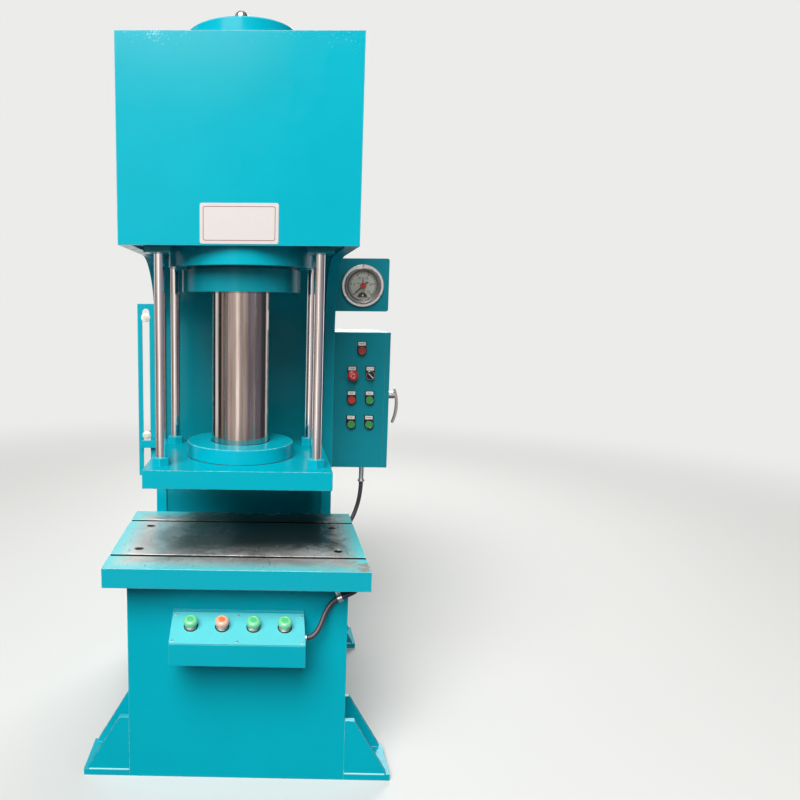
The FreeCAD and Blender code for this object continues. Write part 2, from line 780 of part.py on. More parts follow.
def gauge_parts():
    x0, x1 = half, half + gauge_plate_w
    y0 = gauge_front()
    z0, z1 = gauge_plate_z - gauge_plate_h / 2, gauge_plate_z + gauge_plate_h / 2
    r, c = gauge_plate_corner, math.sqrt(0.5)
    sheet = outline(
        V(x0, y0, z0), V(x1 - r, y0, z0), (V(x1 - r + r * c, y0, z0 + r - r * c), V(x1, y0, z0 + r)),
        V(x1, y0, z1 - r), (V(x1 - r + r * c, y0, z1 - r + r * c), V(x1 - r, y0, z1)),
        V(x0, y0, z1), V(x0, y0, z0))
    leg = block(x0, x0 + gauge_plate_t, y0, y0 + gauge_plate_leg, z0, z1)
    plate = fused([prism(sheet, V(0, gauge_plate_t, 0)), leg])
    centre = V(half + gauge_x, 0, gauge_z)
    cuts = [bar(gauge_case_r + clear_gap, centre + V(0, y0 - 1, 0), Y_AXIS, gauge_plate_t + 2)]
    for side, at in hex_places():
        if side > 0:
            cuts.append(bar(hex_r + screw_hole_gap, V(half - 1, at.y, at.z), X_AXIS, gauge_plate_t + 2))
    plate = plate.cut(cuts)

    # Turned parts stand on the plate's front face and rise towards the front (-Y).
    base = V(centre.x, y0, centre.z)
    front = V(0, -1, 0)
    depth = gauge_case_depth
    rim, ring_in = gauge_ring_r - 1.5, gauge_window_r + 3
    case = turned([(0, -depth), (gauge_case_r, -depth), (gauge_case_r, 0), (rim, 0),
                   (rim, gauge_flange_t), (ring_in, gauge_flange_t),
                   (ring_in, gauge_flange_t - dial_t - 1), (gauge_case_r - gauge_wall - 4, 0),
                   (gauge_case_r - gauge_wall - 4, gauge_wall - depth), (0, gauge_wall - depth),
                   (0, -depth)], base, front)
    dial_z = gauge_flange_t - dial_t - 1
    dial = turned([(spindle_r + running_gap, dial_z), (ring_in - running_gap, dial_z),
                   (ring_in - running_gap, dial_z + dial_t), (spindle_r + running_gap, dial_z + dial_t),
                   (spindle_r + running_gap, dial_z)], base, front)
    top = gauge_flange_t + gauge_ring_h
    glass_z = top - 5 - glass_t
    lip_in, lip_top = gauge_ring_r - gauge_lip_w, gauge_flange_t + gauge_lip_h
    ring = turned([(ring_in, gauge_flange_t), (gauge_ring_r, gauge_flange_t),
                   (gauge_ring_r, lip_top - 1.5), (gauge_ring_r - 1.5, lip_top), (lip_in, lip_top),
                   (gauge_window_r + 4, top), (gauge_window_r, top - 4),
                   (gauge_window_r, glass_z + glass_t),
                   (ring_in, glass_z + glass_t), (ring_in, gauge_flange_t)], base, front)
    glass = turned([(0, glass_z), (ring_in - running_gap, glass_z),
                    (ring_in - running_gap, glass_z + glass_t - running_gap),
                    (0, glass_z + glass_t - running_gap), (0, glass_z)], base, front)
    return {"gauge_plate": plate, "gauge_case": case, "gauge_dial": dial, "gauge_ring": ring,
            "gauge_glass": glass, "gauge_pointer": gauge_pointer(base, dial_z + dial_t)}


def gauge_pointer(base, dial_face):
    """Hub, spindle through the dial, and a tapered blade with a short tail, at zero."""
    lift = 1.0
    blade_t = 0.8
    hub = bar(pointer_hub_r, V(0, 0, dial_face + lift), Z_AXIS, 2.5)
    spindle = bar(spindle_r, V(0, 0, dial_face - 12), Z_AXIS, 14)
    z = dial_face + lift + 0.5
    wire = outline(V(-2.2, -14, z), V(2.2, -14, z), V(1.6, 0, z), V(0.5, pointer_reach, z),
                   V(-0.5, pointer_reach, z), V(-1.6, 0, z), V(-2.2, -14, z))
    pointer = fused([hub, spindle, prism(wire, V(0, 0, blade_t))])
    turn = FreeCAD.Rotation(Y_AXIS, -pointer_angle).multiply(FreeCAD.Rotation(X_AXIS, 90))
    pointer.Placement = FreeCAD.Placement(base, turn)
    return pointer


# ---------------------------------------------------------------- control box
def box_corner():
    """Left front bottom corner of the control box."""
    return V(half, column_front, box_bottom)


def control_box():
    """Sheet housing, open towards the door, with a folded rim round the opening."""
    at = box_corner()
    x1 = at.x + box_width - door_lip - door_gap
    y1, z1 = at.y + box_depth, at.z + box_height
    shell = block(at.x, x1, at.y, y1, at.z, z1)
    hollow = block(at.x + box_wall, x1 - box_wall, at.y + box_wall, y1 - box_wall,
                   at.z + box_wall, z1 - box_wall)
    mouth = block(x1 - box_wall - 1, x1 + 1, at.y + box_rim, y1 - box_rim, at.z + box_rim,
                  z1 - box_rim)
    cuts = [hollow, mouth]
    for x, z in operator_places():
        cuts.append(bar(bezel_tube_r + running_gap, V(x, at.y - 1, z), Y_AXIS, box_wall + 2))
    inlet = conduit_start()
    cuts.append(bar(conduit_sleeve_r + running_gap, V(inlet.x, inlet.y, at.z - 1), Z_AXIS,
                    box_wall + 2))
    shell = shell.cut(cuts)
    hinges = [hinge_half(hinge_axis(), z, False, y1, 26.0) for z in hinge_heights()]
    return fused([shell] + hinges)


def hinge_axis():
    at = box_corner()
    return V(at.x + box_width - door_lip - door_gap / 2, at.y + box_depth + hinge_off, 0)


def hinge_heights():
    return [box_bottom + hinge_inset, box_bottom + box_height - hinge_inset - hinge_h]


def hinge_half(axis, z, moving, seat, reach):
    """Half of a lift-off hinge: the fixed half holds the pin, the other one hangs on it."""
    half_h = hinge_h / 2
    way = 1 if moving else -1
    low, high = (z + half_h + fit_gap, z + hinge_h) if moving else (z, z + half_h)
    near, web, far = axis.x + way * 0.4, axis.x + way * hinge_r, axis.x + way * reach
    barrel = bar(hinge_r, V(axis.x, axis.y, low), Z_AXIS, high - low)
    leaf = block(min(near, far), max(near, far), seat, seat + hinge_leaf_t, low, high)
    rib = block(min(near, web), max(near, web), seat, axis.y, low, high)
    if moving:
        socket = bar(hinge_pin_r + running_gap, V(axis.x, axis.y, low - 1), Z_AXIS, half_h - 3)
        return fused([barrel, leaf, rib]).cut(socket)
    pin = bar(hinge_pin_r, V(axis.x, axis.y, high - 1), Z_AXIS, half_h - 4)
    return fused([barrel, leaf, rib, pin])


def box_door():
    """Folded tray that closes the right side of the box, with its hinge halves."""
    at = box_corner()
    x1 = at.x + box_width
    x0 = x1 - door_lip
    y1, z1 = at.y + box_depth, at.z + box_height
    tray = block(x0, x1, at.y, y1, at.z, z1)
    tray = tray.cut(block(x0 - 1, x1 - door_wall, at.y + door_wall, y1 - door_wall,
                          at.z + door_wall, z1 - door_wall))
    tray = tray.cut(bar(latch_shaft_r + running_gap, V(x0, latch_y(), latch_z), X_AXIS, door_lip + 1))
    return fused([tray] + [hinge_half(hinge_axis(), z, True, y1, 15.0) for z in hinge_heights()])


def latch_y():
    return column_front + latch_inset


def latch_handle():
    """Boss and shaft through the door, tongue behind it, bowed lever outside."""
    x, y, z = half + box_width, latch_y(), latch_z
    boss = bar(latch_boss_r, V(x + fit_gap, y, z), X_AXIS, latch_boss_h)
    shaft = bar(latch_shaft_r, V(x - latch_shaft_in, y, z), X_AXIS, latch_shaft_in + 2)
    tongue = latch_inset - box_rim - clear_gap
    cam = block(x - latch_shaft_in, x - latch_shaft_in + 4, y - tongue, y + 9, z - 9, z + 9)
    seat = x + fit_gap + latch_boss_h - lever_t / 2
    top, low = z + lever_up, z - lever_down
    middle, thin = (top + low) / 2, lever_t * 0.7
    wire = outline(
        V(seat, y, top), (V(seat + lever_bow, y, middle), V(seat - 4, y, low)),
        V(seat - 4 + thin, y, low - 1),
        (V(seat + lever_bow + lever_t, y, middle), V(seat + thin, y, top)), V(seat, y, top))
    lever = prism(wire, V(0, lever_w, 0))
    lever.translate(V(0, -lever_w / 2, 0))
    return fused([boss, shaft, cam, lever])


# ---------------------------------------------------------------- operators
OPERATORS = ("pilot_lamp", "estop_button", "selector_knob", "stop_button",
             "start_button", "up_button", "down_button")


def operator_places():
    """Centres on the box's front: one lamp on top, then three rows of two."""
    middle = half + operator_x
    left, right = middle - column_pitch / 2, middle + column_pitch / 2
    places = [(right, top_row_z), (left, top_row_z - row_pitch), (right, top_row_z - row_pitch)]
    for row in (2, 3):
        places += [(x, top_row_z - row * row_pitch) for x in (left, right)]
    places[0] = (middle, top_row_z)
    return places


def operator_bezel(x, z, bore_r, depth):
    """Ring on a threaded tube through the wall, clamping a legend holder with a round foot."""
    y, w = column_front, legend_w / 2
    holder = prism(outline(V(x - w, y, z + legend_above), V(x + w, y, z + legend_above), V(x + w, y, z),
                           (V(x, y, z - w), V(x - w, y, z)), V(x - w, y, z + legend_above)),
                   V(0, -legend_t, 0))
    ring = bar(bezel_r, V(x, y - legend_t, z), V(0, -1, 0), bezel_h)
    tube = bar(bezel_tube_r, V(x, y + bezel_tube_l, z), V(0, -1, 0), bezel_tube_l + legend_t + 1)
    nut = placed(hexagon(2 * bezel_r, 5.0), V(x, y + box_wall, z), Y_AXIS)
    bore = bar(bore_r + running_gap, V(x, y - legend_t - bezel_h - 1, z), Y_AXIS, depth + 1)
    return fused([holder, ring, tube, nut]).cut(bore)


def push_cap(x, z):
    """Round cap with a raised rim round its dish."""
    face = column_front - legend_t - bezel_h - cap_proud
    r, thick = cap_r_small, cap_proud + bezel_h - press_travel - clear_gap
    return turned([(0, 0), (r, 0), (r, thick - 1.2), (r - 1.2, thick), (r - lens_rim, thick),
                   (r - lens_rim - 1, thick - lens_dish), (0, thick - lens_dish), (0, 0)],
                  V(x, face + thick, z), V(0, -1, 0))


def mushroom(stem_r, stem_l, centre, axis):
    """Round-edged head with a dished top on the origin's plane, and a stem below it."""
    r, top = mushroom_r, mushroom_h
    side, flat, c = r - mushroom_round, top - mushroom_round, mushroom_round * math.sqrt(0.5)
    wire = outline(V(0, 0, 0), V(r - 1.5, 0, 0), V(r, 0, 1.5), V(r, 0, flat),
                   (V(side + c, 0, flat + c), V(side, 0, top)), V(side - 1, 0, top - mushroom_dish),
                   V(0, 0, top - mushroom_dish), V(0, 0, 0))
    head = Part.Face(wire).revolve(V(0, 0, 0), Z_AXIS, 360)
    stem = bar(stem_r, V(0, 0, -stem_l), Z_AXIS, stem_l + 1)
    return placed(fused([head, stem]), centre, axis)


def selector(x, z):
    """Round skirt with a finger bar across it, turned to its left position."""
    face = column_front - legend_t - bezel_h
    skirt = bar(cap_r_small, V(x, face + bezel_h - clear_gap, z), V(0, -1, 0), bezel_h + 1.5)
    grip = block(x - 3.5, x + 3.5, face - 13, face - 1, z - 13.5, z + 13.5)
    grip.rotate(V(x, face, z), V(0, 1, 0), -selector_angle)
    return fused([skirt, grip])


def operator_parts():
    front = V(0, -1, 0)
    stem_r, stem_l = 6.0, bezel_h + legend_t + press_travel + 10.0
    parts, bezels = {}, []
    for name, (x, z) in zip(OPERATORS, operator_places()):
        bore, depth = cap_r_small, bezel_h
        if name == "selector_knob":
            parts[name] = selector(x, z)
        elif name == "estop_button":
            seat = column_front - legend_t - bezel_h - press_travel - 2
            parts[name] = mushroom(stem_r, stem_l, V(x, seat, z), front)
            bore, depth = stem_r, stem_l
        else:
            parts[name] = push_cap(x, z)
        bezels.append(operator_bezel(x, z, bore, depth))
    parts["operator_bezels"] = Part.makeCompound(bezels)
    return parts


# ---------------------------------------------------------------- console
def slope_frame():
    """Start of the sloped panel at the base, its direction and its normal."""
    start = V(console_x, base_front, console_back_top)
    end = V(console_x, base_front - console_reach, console_front_top)
    along = (end - start).normalize()
    normal = V(0, along.z, -along.y)
    if normal.z < 0:
        normal = normal * -1
    return start, along, normal


def slope_length():
    return math.hypot(console_reach, console_back_top - console_front_top)


def console_box():
    """Sheet housing, open upwards under its sloped panel."""
    x0, width = console_x - console_width / 2, console_width
    back, front = base_front, base_front - console_reach
    wall = console_wall
    outer = prism(outline(V(x0, back, console_bottom), V(x0, front, console_bottom),
                          V(x0, front, console_front_top), V(x0, back, console_back_top),
                          V(x0, back, console_bottom)), V(width, 0, 0))
    hollow = prism(outline(V(x0, back - wall, console_bottom + wall),
                           V(x0, front + wall, console_bottom + wall),
                           V(x0, front + wall, console_front_top + 30),
                           V(x0, back - wall, console_back_top + 30),
                           V(x0, back - wall, console_bottom + wall)), V(width - 2 * wall, 0, 0))
    hollow.translate(V(wall, 0, 0))
    seat = panel_plate(x0 - 1, width + 2, console_panel_start - fit_gap, 40.0)
    ledge = panel_ledge(x0 + wall / 2, width - wall)
    end = conduit_end()
    inlet = bar(conduit_r + running_gap, V(x0 + width - 10, end.y, end.z), X_AXIS, 20)
    return fused([outer.cut(hollow)] + ledge).cut([seat, inlet] + palm_tools(collar_base_r, 30.0))


def panel_plate(x0, width, from_slope, thick, sink=console_panel_t):
    """A slab on the slope, its underside sunk below the slope's line."""
    start, along, normal = slope_frame()
    a = start + along * from_slope - normal * sink
    b = start + along * (slope_length() + 40) - normal * sink
    wire = outline(V(x0, a.y, a.z), V(x0, b.y, b.z), V(x0, b.y, b.z) + normal * thick,
                   V(x0, a.y, a.z) + normal * thick, V(x0, a.y, a.z))
    return prism(wire, V(width, 0, 0))


def panel_ledge(x0, width):
    """Folded rims under the panel's long edges that take its screws."""
    start, along, normal = slope_frame()
    rim_t, rim_w, end = 3.0, 16.0, slope_length()
    rims = []
    for s0, s1 in ((4.0, console_panel_start + rim_w), (end - rim_w, end - 1.0)):
        a = start + along * s0 - normal * console_panel_t
        b = start + along * s1 - normal * console_panel_t
        wire = outline(V(x0, a.y, a.z), V(x0, b.y, b.z), V(x0, b.y, b.z) - normal * rim_t,
                       V(x0, a.y, a.z) - normal * rim_t, V(x0, a.y, a.z))
        rims.append(prism(wire, V(width, 0, 0)))
    return rims


def palm_tools(radius, depth):
    """Cylinders through the panel at the four buttons."""
    return [bar(radius, at - normal * depth, normal, depth * 2) for at, normal in palm_places()]


def palm_places():
    start, along, normal = slope_frame()
    row = start + along * palm_along
    return [(V(row.x + (k - 1.5) * palm_pitch, row.y, row.z), normal) for k in range(4)]


def console_parts():
    x0 = console_x - console_width / 2
    start, along, normal = slope_frame()
    sink = console_panel_t
    a = start + along * console_panel_start - normal * sink
    b = start + along * slope_length() - normal * sink
    wire = outline(V(x0, a.y, a.z), V(x0, b.y, b.z), V(x0, b.y, b.z) + normal * sink,
                   V(x0, a.y, a.z) + normal * sink, V(x0, a.y, a.z))
    panel = prism(wire, V(console_width, 0, 0))
    panel = panel.cut(palm_tools(palm_stem_r + running_gap, 10.0))
    collars, parts = [], {}
    rise = collar_h + palm_travel + palm_spare
    for k, (at, n) in enumerate(palm_places()):
        collars.append(turned([(palm_stem_r + running_gap, 0), (collar_base_r, 0),
                               (collar_base_r, collar_base_h), (collar_r, collar_base_h + 1),
                               (collar_r, collar_h), (palm_stem_r + running_gap, collar_h),
                               (palm_stem_r + running_gap, 0)], at, n))
        parts["palm_button_%d" % (k + 1)] = mushroom(palm_stem_r, 28.0, at + n * rise, n)
    parts["console_panel"] = panel
    parts["console_box"] = console_box()
    parts["button_collars"] = Part.makeCompound(collars)
    return parts


# ---------------------------------------------------------------- conduit
def conduit_path(points):
    """Straight runs joined by tangent arcs, each as large as its two runs allow."""
    edges, radii = [], []
    here = points[0]
    for before, corner, after in zip(points, points[1:], points[2:]):
        way_in, way_out = (corner - before), (after - corner)
        short = min(way_in.Length, way_out.Length)
        way_in.normalize()
        way_out.normalize()
        turn = way_in.getAngle(way_out)
        radius = 0.45 * short / math.tan(turn / 2)
        setback = 0.45 * short
        enter, leave = corner - way_in * setback, corner + way_out * setback
        inward = (way_out - way_in).normalize()
        centre = corner + inward * math.hypot(setback, radius)
        middle = centre - inward * radius
        edges.append(Part.LineSegment(here, enter).toShape())
        edges.append(Part.Arc(enter, middle, leave).toShape())
        here = leave
        radii.append(radius)
    edges.append(Part.LineSegment(here, points[-1]).toShape())
    return Part.Wire(edges), radii


def conduit_start():
    """Where the conduit leaves the coupling under the control box."""
    return V(half + conduit_out, column_front + conduit_in, box_bottom - conduit_drop)


def conduit_end():
    """Where it enters the coupling on the console's right side."""
    return V(console_x + console_width / 2 + conduit_side, base_front - conduit_end_y,
             console_bottom + conduit_end_z)


def clip_line():
    """Two points that the conduit runs straight between, against the base's front."""
    y = base_front - conduit_off
    return V(half + 7, y, base_top - 38), V(half - 58, y, base_top - 66)


def conduit_route():
    """Down from the box, forward under the table, round the base's corner, to the console."""
    start, end = conduit_start(), conduit_end()
    clip_a, clip_b = clip_line()
    lane, low = half + conduit_lane, base_top - conduit_depth
    return [
        start,
        start - V(1, 0, 50),
        V(start.x - 19, start.y - 1, base_top + 12),
        V(start.x - 46, start.y - 32, base_top - 26),
        V(start.x - 76, start.y - 100, low + 5),
        V(lane + 2, start.y - 190, low),
        V(lane, 60, low + 3),
        V(half + 29, base_front + 12, low + 15),
        clip_a,
        clip_b,
        V(end.x + 28, end.y, end.z),
        end,
    ]


def conduit():
    points = conduit_route()
    path, radii = conduit_path(points)
    ring = Part.Wire(Part.makeCircle(conduit_r, points[0], (points[1] - points[0]).normalize()))
    tube = path.makePipe(Part.Face(ring))
    print("conduit length %.0f, volume ratio %.4f" % (
        path.Length, tube.Volume / (math.pi * conduit_r ** 2 * path.Length)))
    print("conduit radii " + " ".join("%.0f" % r for r in radii))
    return tube


def clip_frame():
    """The clip's centre on the base and the conduit's direction there."""
    a, b = clip_line()
    along = (b - a).normalize()
    centre = (a + b) * 0.5
    return V(centre.x, base_front, centre.z), along


def conduit_clip():
    """Saddle over the conduit with an ear on each side."""
    inside, height = conduit_r + clip_gap, conduit_off
    outside = inside + clip_t
    ear = outside + clip_ear
    w = clip_w / 2
    arch = bar(outside, V(-w, 0, height), X_AXIS, clip_w)
    legs = block(-w, w, -outside, outside, 0, height)
    ears = block(-w, w, -ear, ear, 0, clip_t)
    hollow = [bar(inside, V(-w - 1, 0, height), X_AXIS, clip_w + 2),
              block(-w - 1, w + 1, -inside, inside, -1, height)]
    saddle = fused([arch, legs, ears]).cut(hollow)
    centre, along = clip_frame()
    out = V(0, -1, 0)
    side = out.cross(along)
    saddle.Placement = FreeCAD.Placement(centre, FreeCAD.Rotation(along, side, out, "XZY"))
    return saddle


def conduit_fittings():
    """Couplings under the control box and on the console's side, and the clip between them."""
    start, end = conduit_start(), conduit_end()
    nut = conduit_nut_r
    long = fused([bar(conduit_sleeve_r, start, Z_AXIS, conduit_drop + 6),
                  bar(nut, start + V(0, 0, conduit_drop - 10), Z_AXIS, 10),
                  bar(nut, start, Z_AXIS, conduit_ring_t)])
    short = fused([bar(conduit_r, end - V(conduit_side + 8, 0, 0), X_AXIS, conduit_side + 8),
                   bar(nut - 2, end - V(conduit_side, 0, 0), X_AXIS, conduit_side)])
    return Part.makeCompound([long, short, conduit_clip()])


# ---------------------------------------------------------------- screws


def screws():
    """The table's screws and the hexagon bolts, apart from those that ride on the slide."""
    seat = table_top - cbore_h
    screw = socket_screw(seat - base_top + table_thread - 5)
    fixed = [placed(screw, V(x, y, seat), Z_AXIS) for x, y in table_screw_places()]
    fixed += [placed(hex_bolt(), at, V(side, 0, 0)) for side, at in hex_places()]
    sliding = [placed(hex_bolt(), at, V(-1, 0, 0)) for at in arm_bolt_places()]
    return {"frame_screws": Part.makeCompound(fixed), "slide_screws": Part.makeCompound(sliding)}


# ---------------------------------------------------------------- power unit
def power_parts():
    y0 = wall_front + cover_t + 20
    x0 = -tank_width / 2
    z0, z1 = floor_plate_t, floor_plate_t + tank_height
    tank = block(x0, -x0, y0, y0 + tank_depth, z0, z1)
    wall = tank_wall
    tank = tank.cut(block(x0 + wall, -x0 - wall, y0 + wall, y0 + tank_depth - wall, z0 + wall,
                          z1 - wall * 2))
    y_mid = y0 + tank_depth / 2
    tank = tank.cut(bar(pump_r + clear_gap, V(motor_x, y_mid, z1 - 20), Z_AXIS, 30))

    fins = []
    for k in range(motor_fins):
        fin = block(motor_r - 1, motor_r + motor_fin_h, -motor_fin_t / 2, motor_fin_t / 2, 30,
                    motor_h - 50)
        fin.rotate(V(0, 0, 0), Z_AXIS, 360.0 * k / motor_fins)
        fins.append(fin)
    body = turned([(0, 0), (motor_r + 15, 0), (motor_r + 15, 14), (motor_r, 14), (motor_r, motor_h - 40),
                   (motor_r + 6, motor_h - 40), (motor_r + 6, motor_h - 8), (motor_r - 4, motor_h),
                   (0, motor_h), (0, 0)])
    motor = placed(fused([body] + fins), V(motor_x, y_mid, z1))
    pump = turned([(0, -pump_h), (pump_r * 0.8, -pump_h), (pump_r * 0.8, -pump_h * 0.4),
                   (pump_r, -pump_h * 0.4), (pump_r, 0), (0, 0), (0, -pump_h)],
                  V(motor_x, y_mid, z1))
    valve = block(valve_x - valve_w / 2, valve_x + valve_w / 2, y_mid - valve_d / 2,
                  y_mid + valve_d / 2, z1, z1 + valve_h)
    coils = [bar(coil_r, V(valve_x - valve_w / 2, y_mid, z1 + valve_h * 0.65), V(-1, 0, 0), coil_l * 0.5),
             bar(coil_r, V(valve_x + valve_w / 2, y_mid, z1 + valve_h * 0.65), X_AXIS, coil_l * 0.5)]
    return {"oil_tank": tank, "pump_motor": Part.makeCompound([motor, pump]),
            "valve_block": fused([valve] + coils)}


# ---------------------------------------------------------------- rear door
def rear_door():
    """Flat door over the service opening, with louvres and two hinge halves."""
    w, lap = door_open_w / 2 + rear_door_lap, rear_door_lap
    y0 = back_y + fit_gap
    z0, z1 = door_open_bottom - lap, door_open_bottom + door_open_h + lap
    door = block(-w, w, y0, y0 + rear_door_t, z0, z1)
    slots = []
    for k in range(louvre_count):
        z = z1 - 110 - k * louvre_pitch
        slots.append(block(-louvre_w / 2, louvre_w / 2, y0 - 1, y0 + rear_door_t + 1, z, z + louvre_h))
    hinges = [hinge_half(rear_hinge_axis(), z, True, y0 + rear_door_t, 30.0)
              for z in rear_hinge_heights()]
    return fused([door.cut(slots), door_handle(y0 + rear_door_t)] + hinges)


def door_handle(y):
    """Square pull handle near the door's free edge."""
    x, z = door_open_w / 2 - 25, door_open_bottom + door_open_h / 2
    grip = block(x, x + handle_bar, y, y + handle_out, z - handle_w / 2, z + handle_w / 2)
    return grip.cut(block(x - 1, x + handle_bar + 1, y - 1, y + handle_out - handle_bar,
                          z - handle_w / 2 + handle_bar, z + handle_w / 2 - handle_bar))


def rear_hinge_axis():
    """Left edge of the door as seen from the front."""
    return V(-door_open_w / 2 - rear_door_lap - 7, back_y + rear_hinge_off, 0)


def rear_hinge_heights():
    return [door_open_bottom + 90, door_open_bottom + door_open_h - 90 - hinge_h]


def main():
    parts = {
        "bolster_table": bolster_table(),
        "feet": feet(),
        "guide_bushes": guide_bushes(),
        "guide_rods": guide_rods(),
        "rod_nuts": rod_nuts(),
        "switch_rail": switch_rail(),
        "proximity_sensors": proximity_sensors(),
        "trip_arm": trip_arm(),
        "control_box": control_box(),
        "box_door": box_door(),
        "latch_handle": latch_handle(),
        "conduit": conduit(),
        "conduit_fittings": conduit_fittings(),
        "rear_door": rear_door(),
    }
    for group in (frame_parts(), cylinder_parts(), ram_parts(), gauge_parts(), operator_parts(),
                  console_parts(), power_parts(), screws()):
        parts.update(group)

    os.makedirs("parts", exist_ok=True)
    for name in sorted(parts):
        shape = parts[name]
        print("%-22s solids %2d  valid %s  %.1f cm3" % (
            name, len(shape.Solids), shape.isValid(), shape.Volume / 1000))
        shape.exportStep("parts/%s.step" % name)
    print(len(parts), "nodes")


main()
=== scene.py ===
# %% [markdown]
# # A single-column hydraulic press
# The press stands on a pale studio floor. Its solids come ready made as a fixed frame, in metres,
# with the floor under the ram's axis as the origin, +Z up and the front towards -Y.
# What is left to do is light, camera, finishes and the small things a solid model leaves out:
# the print on the dial, the ribs of the conduit, the inserts over the buttons.

# %% Load the frame
import bpy
import bmesh
import math
from functools import partial
from mathutils import Matrix, Vector

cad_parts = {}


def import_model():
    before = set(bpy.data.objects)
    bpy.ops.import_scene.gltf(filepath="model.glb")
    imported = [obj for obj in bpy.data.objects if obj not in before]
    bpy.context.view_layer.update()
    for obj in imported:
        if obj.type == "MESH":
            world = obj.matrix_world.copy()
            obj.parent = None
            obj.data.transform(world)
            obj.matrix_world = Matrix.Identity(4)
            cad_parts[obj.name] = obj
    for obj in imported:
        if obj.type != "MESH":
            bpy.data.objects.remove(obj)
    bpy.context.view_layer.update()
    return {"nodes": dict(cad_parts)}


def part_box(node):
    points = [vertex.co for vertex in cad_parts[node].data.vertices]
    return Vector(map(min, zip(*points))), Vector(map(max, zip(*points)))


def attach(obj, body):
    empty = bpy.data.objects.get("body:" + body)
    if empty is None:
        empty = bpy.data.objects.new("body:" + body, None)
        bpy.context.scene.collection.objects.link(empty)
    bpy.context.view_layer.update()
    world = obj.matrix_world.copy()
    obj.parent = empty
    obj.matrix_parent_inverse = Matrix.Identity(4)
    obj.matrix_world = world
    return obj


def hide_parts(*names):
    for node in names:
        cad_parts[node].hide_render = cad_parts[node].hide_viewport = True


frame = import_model()


nodes = frame["nodes"]

# %% [markdown]
# ## The camera
# The photograph was taken from about two metres in front of the machine at eye height, with the
# lens tipped down a little; the straight edges of head, table and base give the place and tilt.
# The machine stands left of the middle, which a sideways lens shift repeats without turning the
# camera.

# %% Place the camera
IMAGE = 800  # the photograph is square, in pixels
FOCAL_PX = 700.0  # focal length in the photograph's pixels
MIDDLE_PX = (252.08, 399.9)  # where the lens axis meets the picture
CAMERA_AT = Vector((0.074, -2.1298, 1.4117))
YAW, PITCH, ROLL = (math.radians(a) for a in (-1.0368, 7.6051, 0.4638))

look = Vector((math.sin(YAW) * math.cos(PITCH), math.cos(YAW) * math.cos(PITCH), -math.sin(PITCH)))
side = Vector((math.cos(YAW), -math.sin(YAW), 0))
above = side.cross(look)
right = math.cos(ROLL) * side + math.sin(ROLL) * above
up = -math.sin(ROLL) * side + math.cos(ROLL) * above

lens = bpy.data.cameras.new("camera")
lens.sensor_width = 36.0
lens.lens = FOCAL_PX / IMAGE * lens.sensor_width
lens.shift_x = (IMAGE / 2 - MIDDLE_PX[0]) / IMAGE
lens.shift_y = (MIDDLE_PX[1] - IMAGE / 2) / IMAGE
camera = bpy.data.objects.new("camera", lens)
bpy.context.scene.collection.objects.link(camera)
turn = Matrix((right, up, -look)).transposed().to_4x4()
camera.matrix_world = Matrix.Translation(CAMERA_AT) @ turn
bpy.context.scene.camera = camera
bpy.context.scene.view_settings.view_transform = "Standard"
print("lens", round(lens.lens, 2), "mm, shift", round(lens.shift_x, 3))

# %% [markdown]
# ## Two helpers for finishes
# Every colour is written as it looks on a screen and turned to linear light in one place. A finish
# is a small network of nodes, so one function adds a node, sets it and plugs it in. Another begins
# a finish: it puts it on the solids that wear it and hands back the first one tied to its tree.

# %% Colour and node helpers
def linear(code, alpha=1.0):
    """A hex colour as linear light."""
    parts = [int(code[k:k + 2], 16) / 255 for k in (1, 3, 5)]
    light = [c / 12.92 if c <= 0.04045 else ((c + 0.055) / 1.055) ** 2.4 for c in parts]
    return (*light, alpha)


def add(tree, kind, feeds=None, **settings):
    """A node with its settings; a feed is a value, a socket, or a node for its first output."""
    made = tree.nodes.new("ShaderNode" + kind)
    for name, value in settings.items():
        setattr(made, name, value)
    for socket, value in (feeds or {}).items():
        if isinstance(value, bpy.types.Node):
            value = next(output for output in value.outputs if output.enabled)
        if isinstance(value, bpy.types.NodeSocket):
            tree.links.new(value, made.inputs[socket])
        else:
            made.inputs[socket].default_value = value
    return made


def begin(name, wearers=""):
    """A new finish, worn by these solids, as the function that adds nodes to its empty tree."""
    finish = bpy.data.materials.new(name)
    finish.use_nodes = True
    finish.node_tree.nodes.clear()
    for wearer in wearers.split():
        mesh = nodes[wearer].data
        mesh.materials.clear()
        mesh.materials.append(finish)
        dressed.add(wearer)
    return partial(add, finish.node_tree)


MM = 0.001  # a millimetre in metres
TEAL = "#00AEC0"
dressed = set()
print("teal in linear light", [round(c, 3) for c in linear(TEAL)])

# %% [markdown]
# ## Studio
# A press this glossy shows the room in its paint and chrome, so the room is plain: a pale floor
# that fades into a pale background. As in the photograph one large soft lamp high on the left
# gives the shadows. A smaller one above evens out the top, a weak one fills the right, and one
# lights the back. The background is as bright as paper only for the eye and through glass; as a
# light it is far dimmer, and what paint and chrome mirror is a room drawn as a ring of tones.

# %% Background
BACKGROUND = "#ECECEA"
world = bpy.data.worlds.new("studio")
bpy.context.scene.world = world
world.use_nodes = True
world.node_tree.nodes.clear()
node = partial(add, world.node_tree)
ray = node("LightPath")
seen = node("Math", {0: ray.outputs["Is Camera Ray"], 1: ray.outputs["Is Transmission Ray"]},
            operation="MAXIMUM")
light = node("Background", {"Color": linear("#F4F6F8"), "Strength": 0.05})
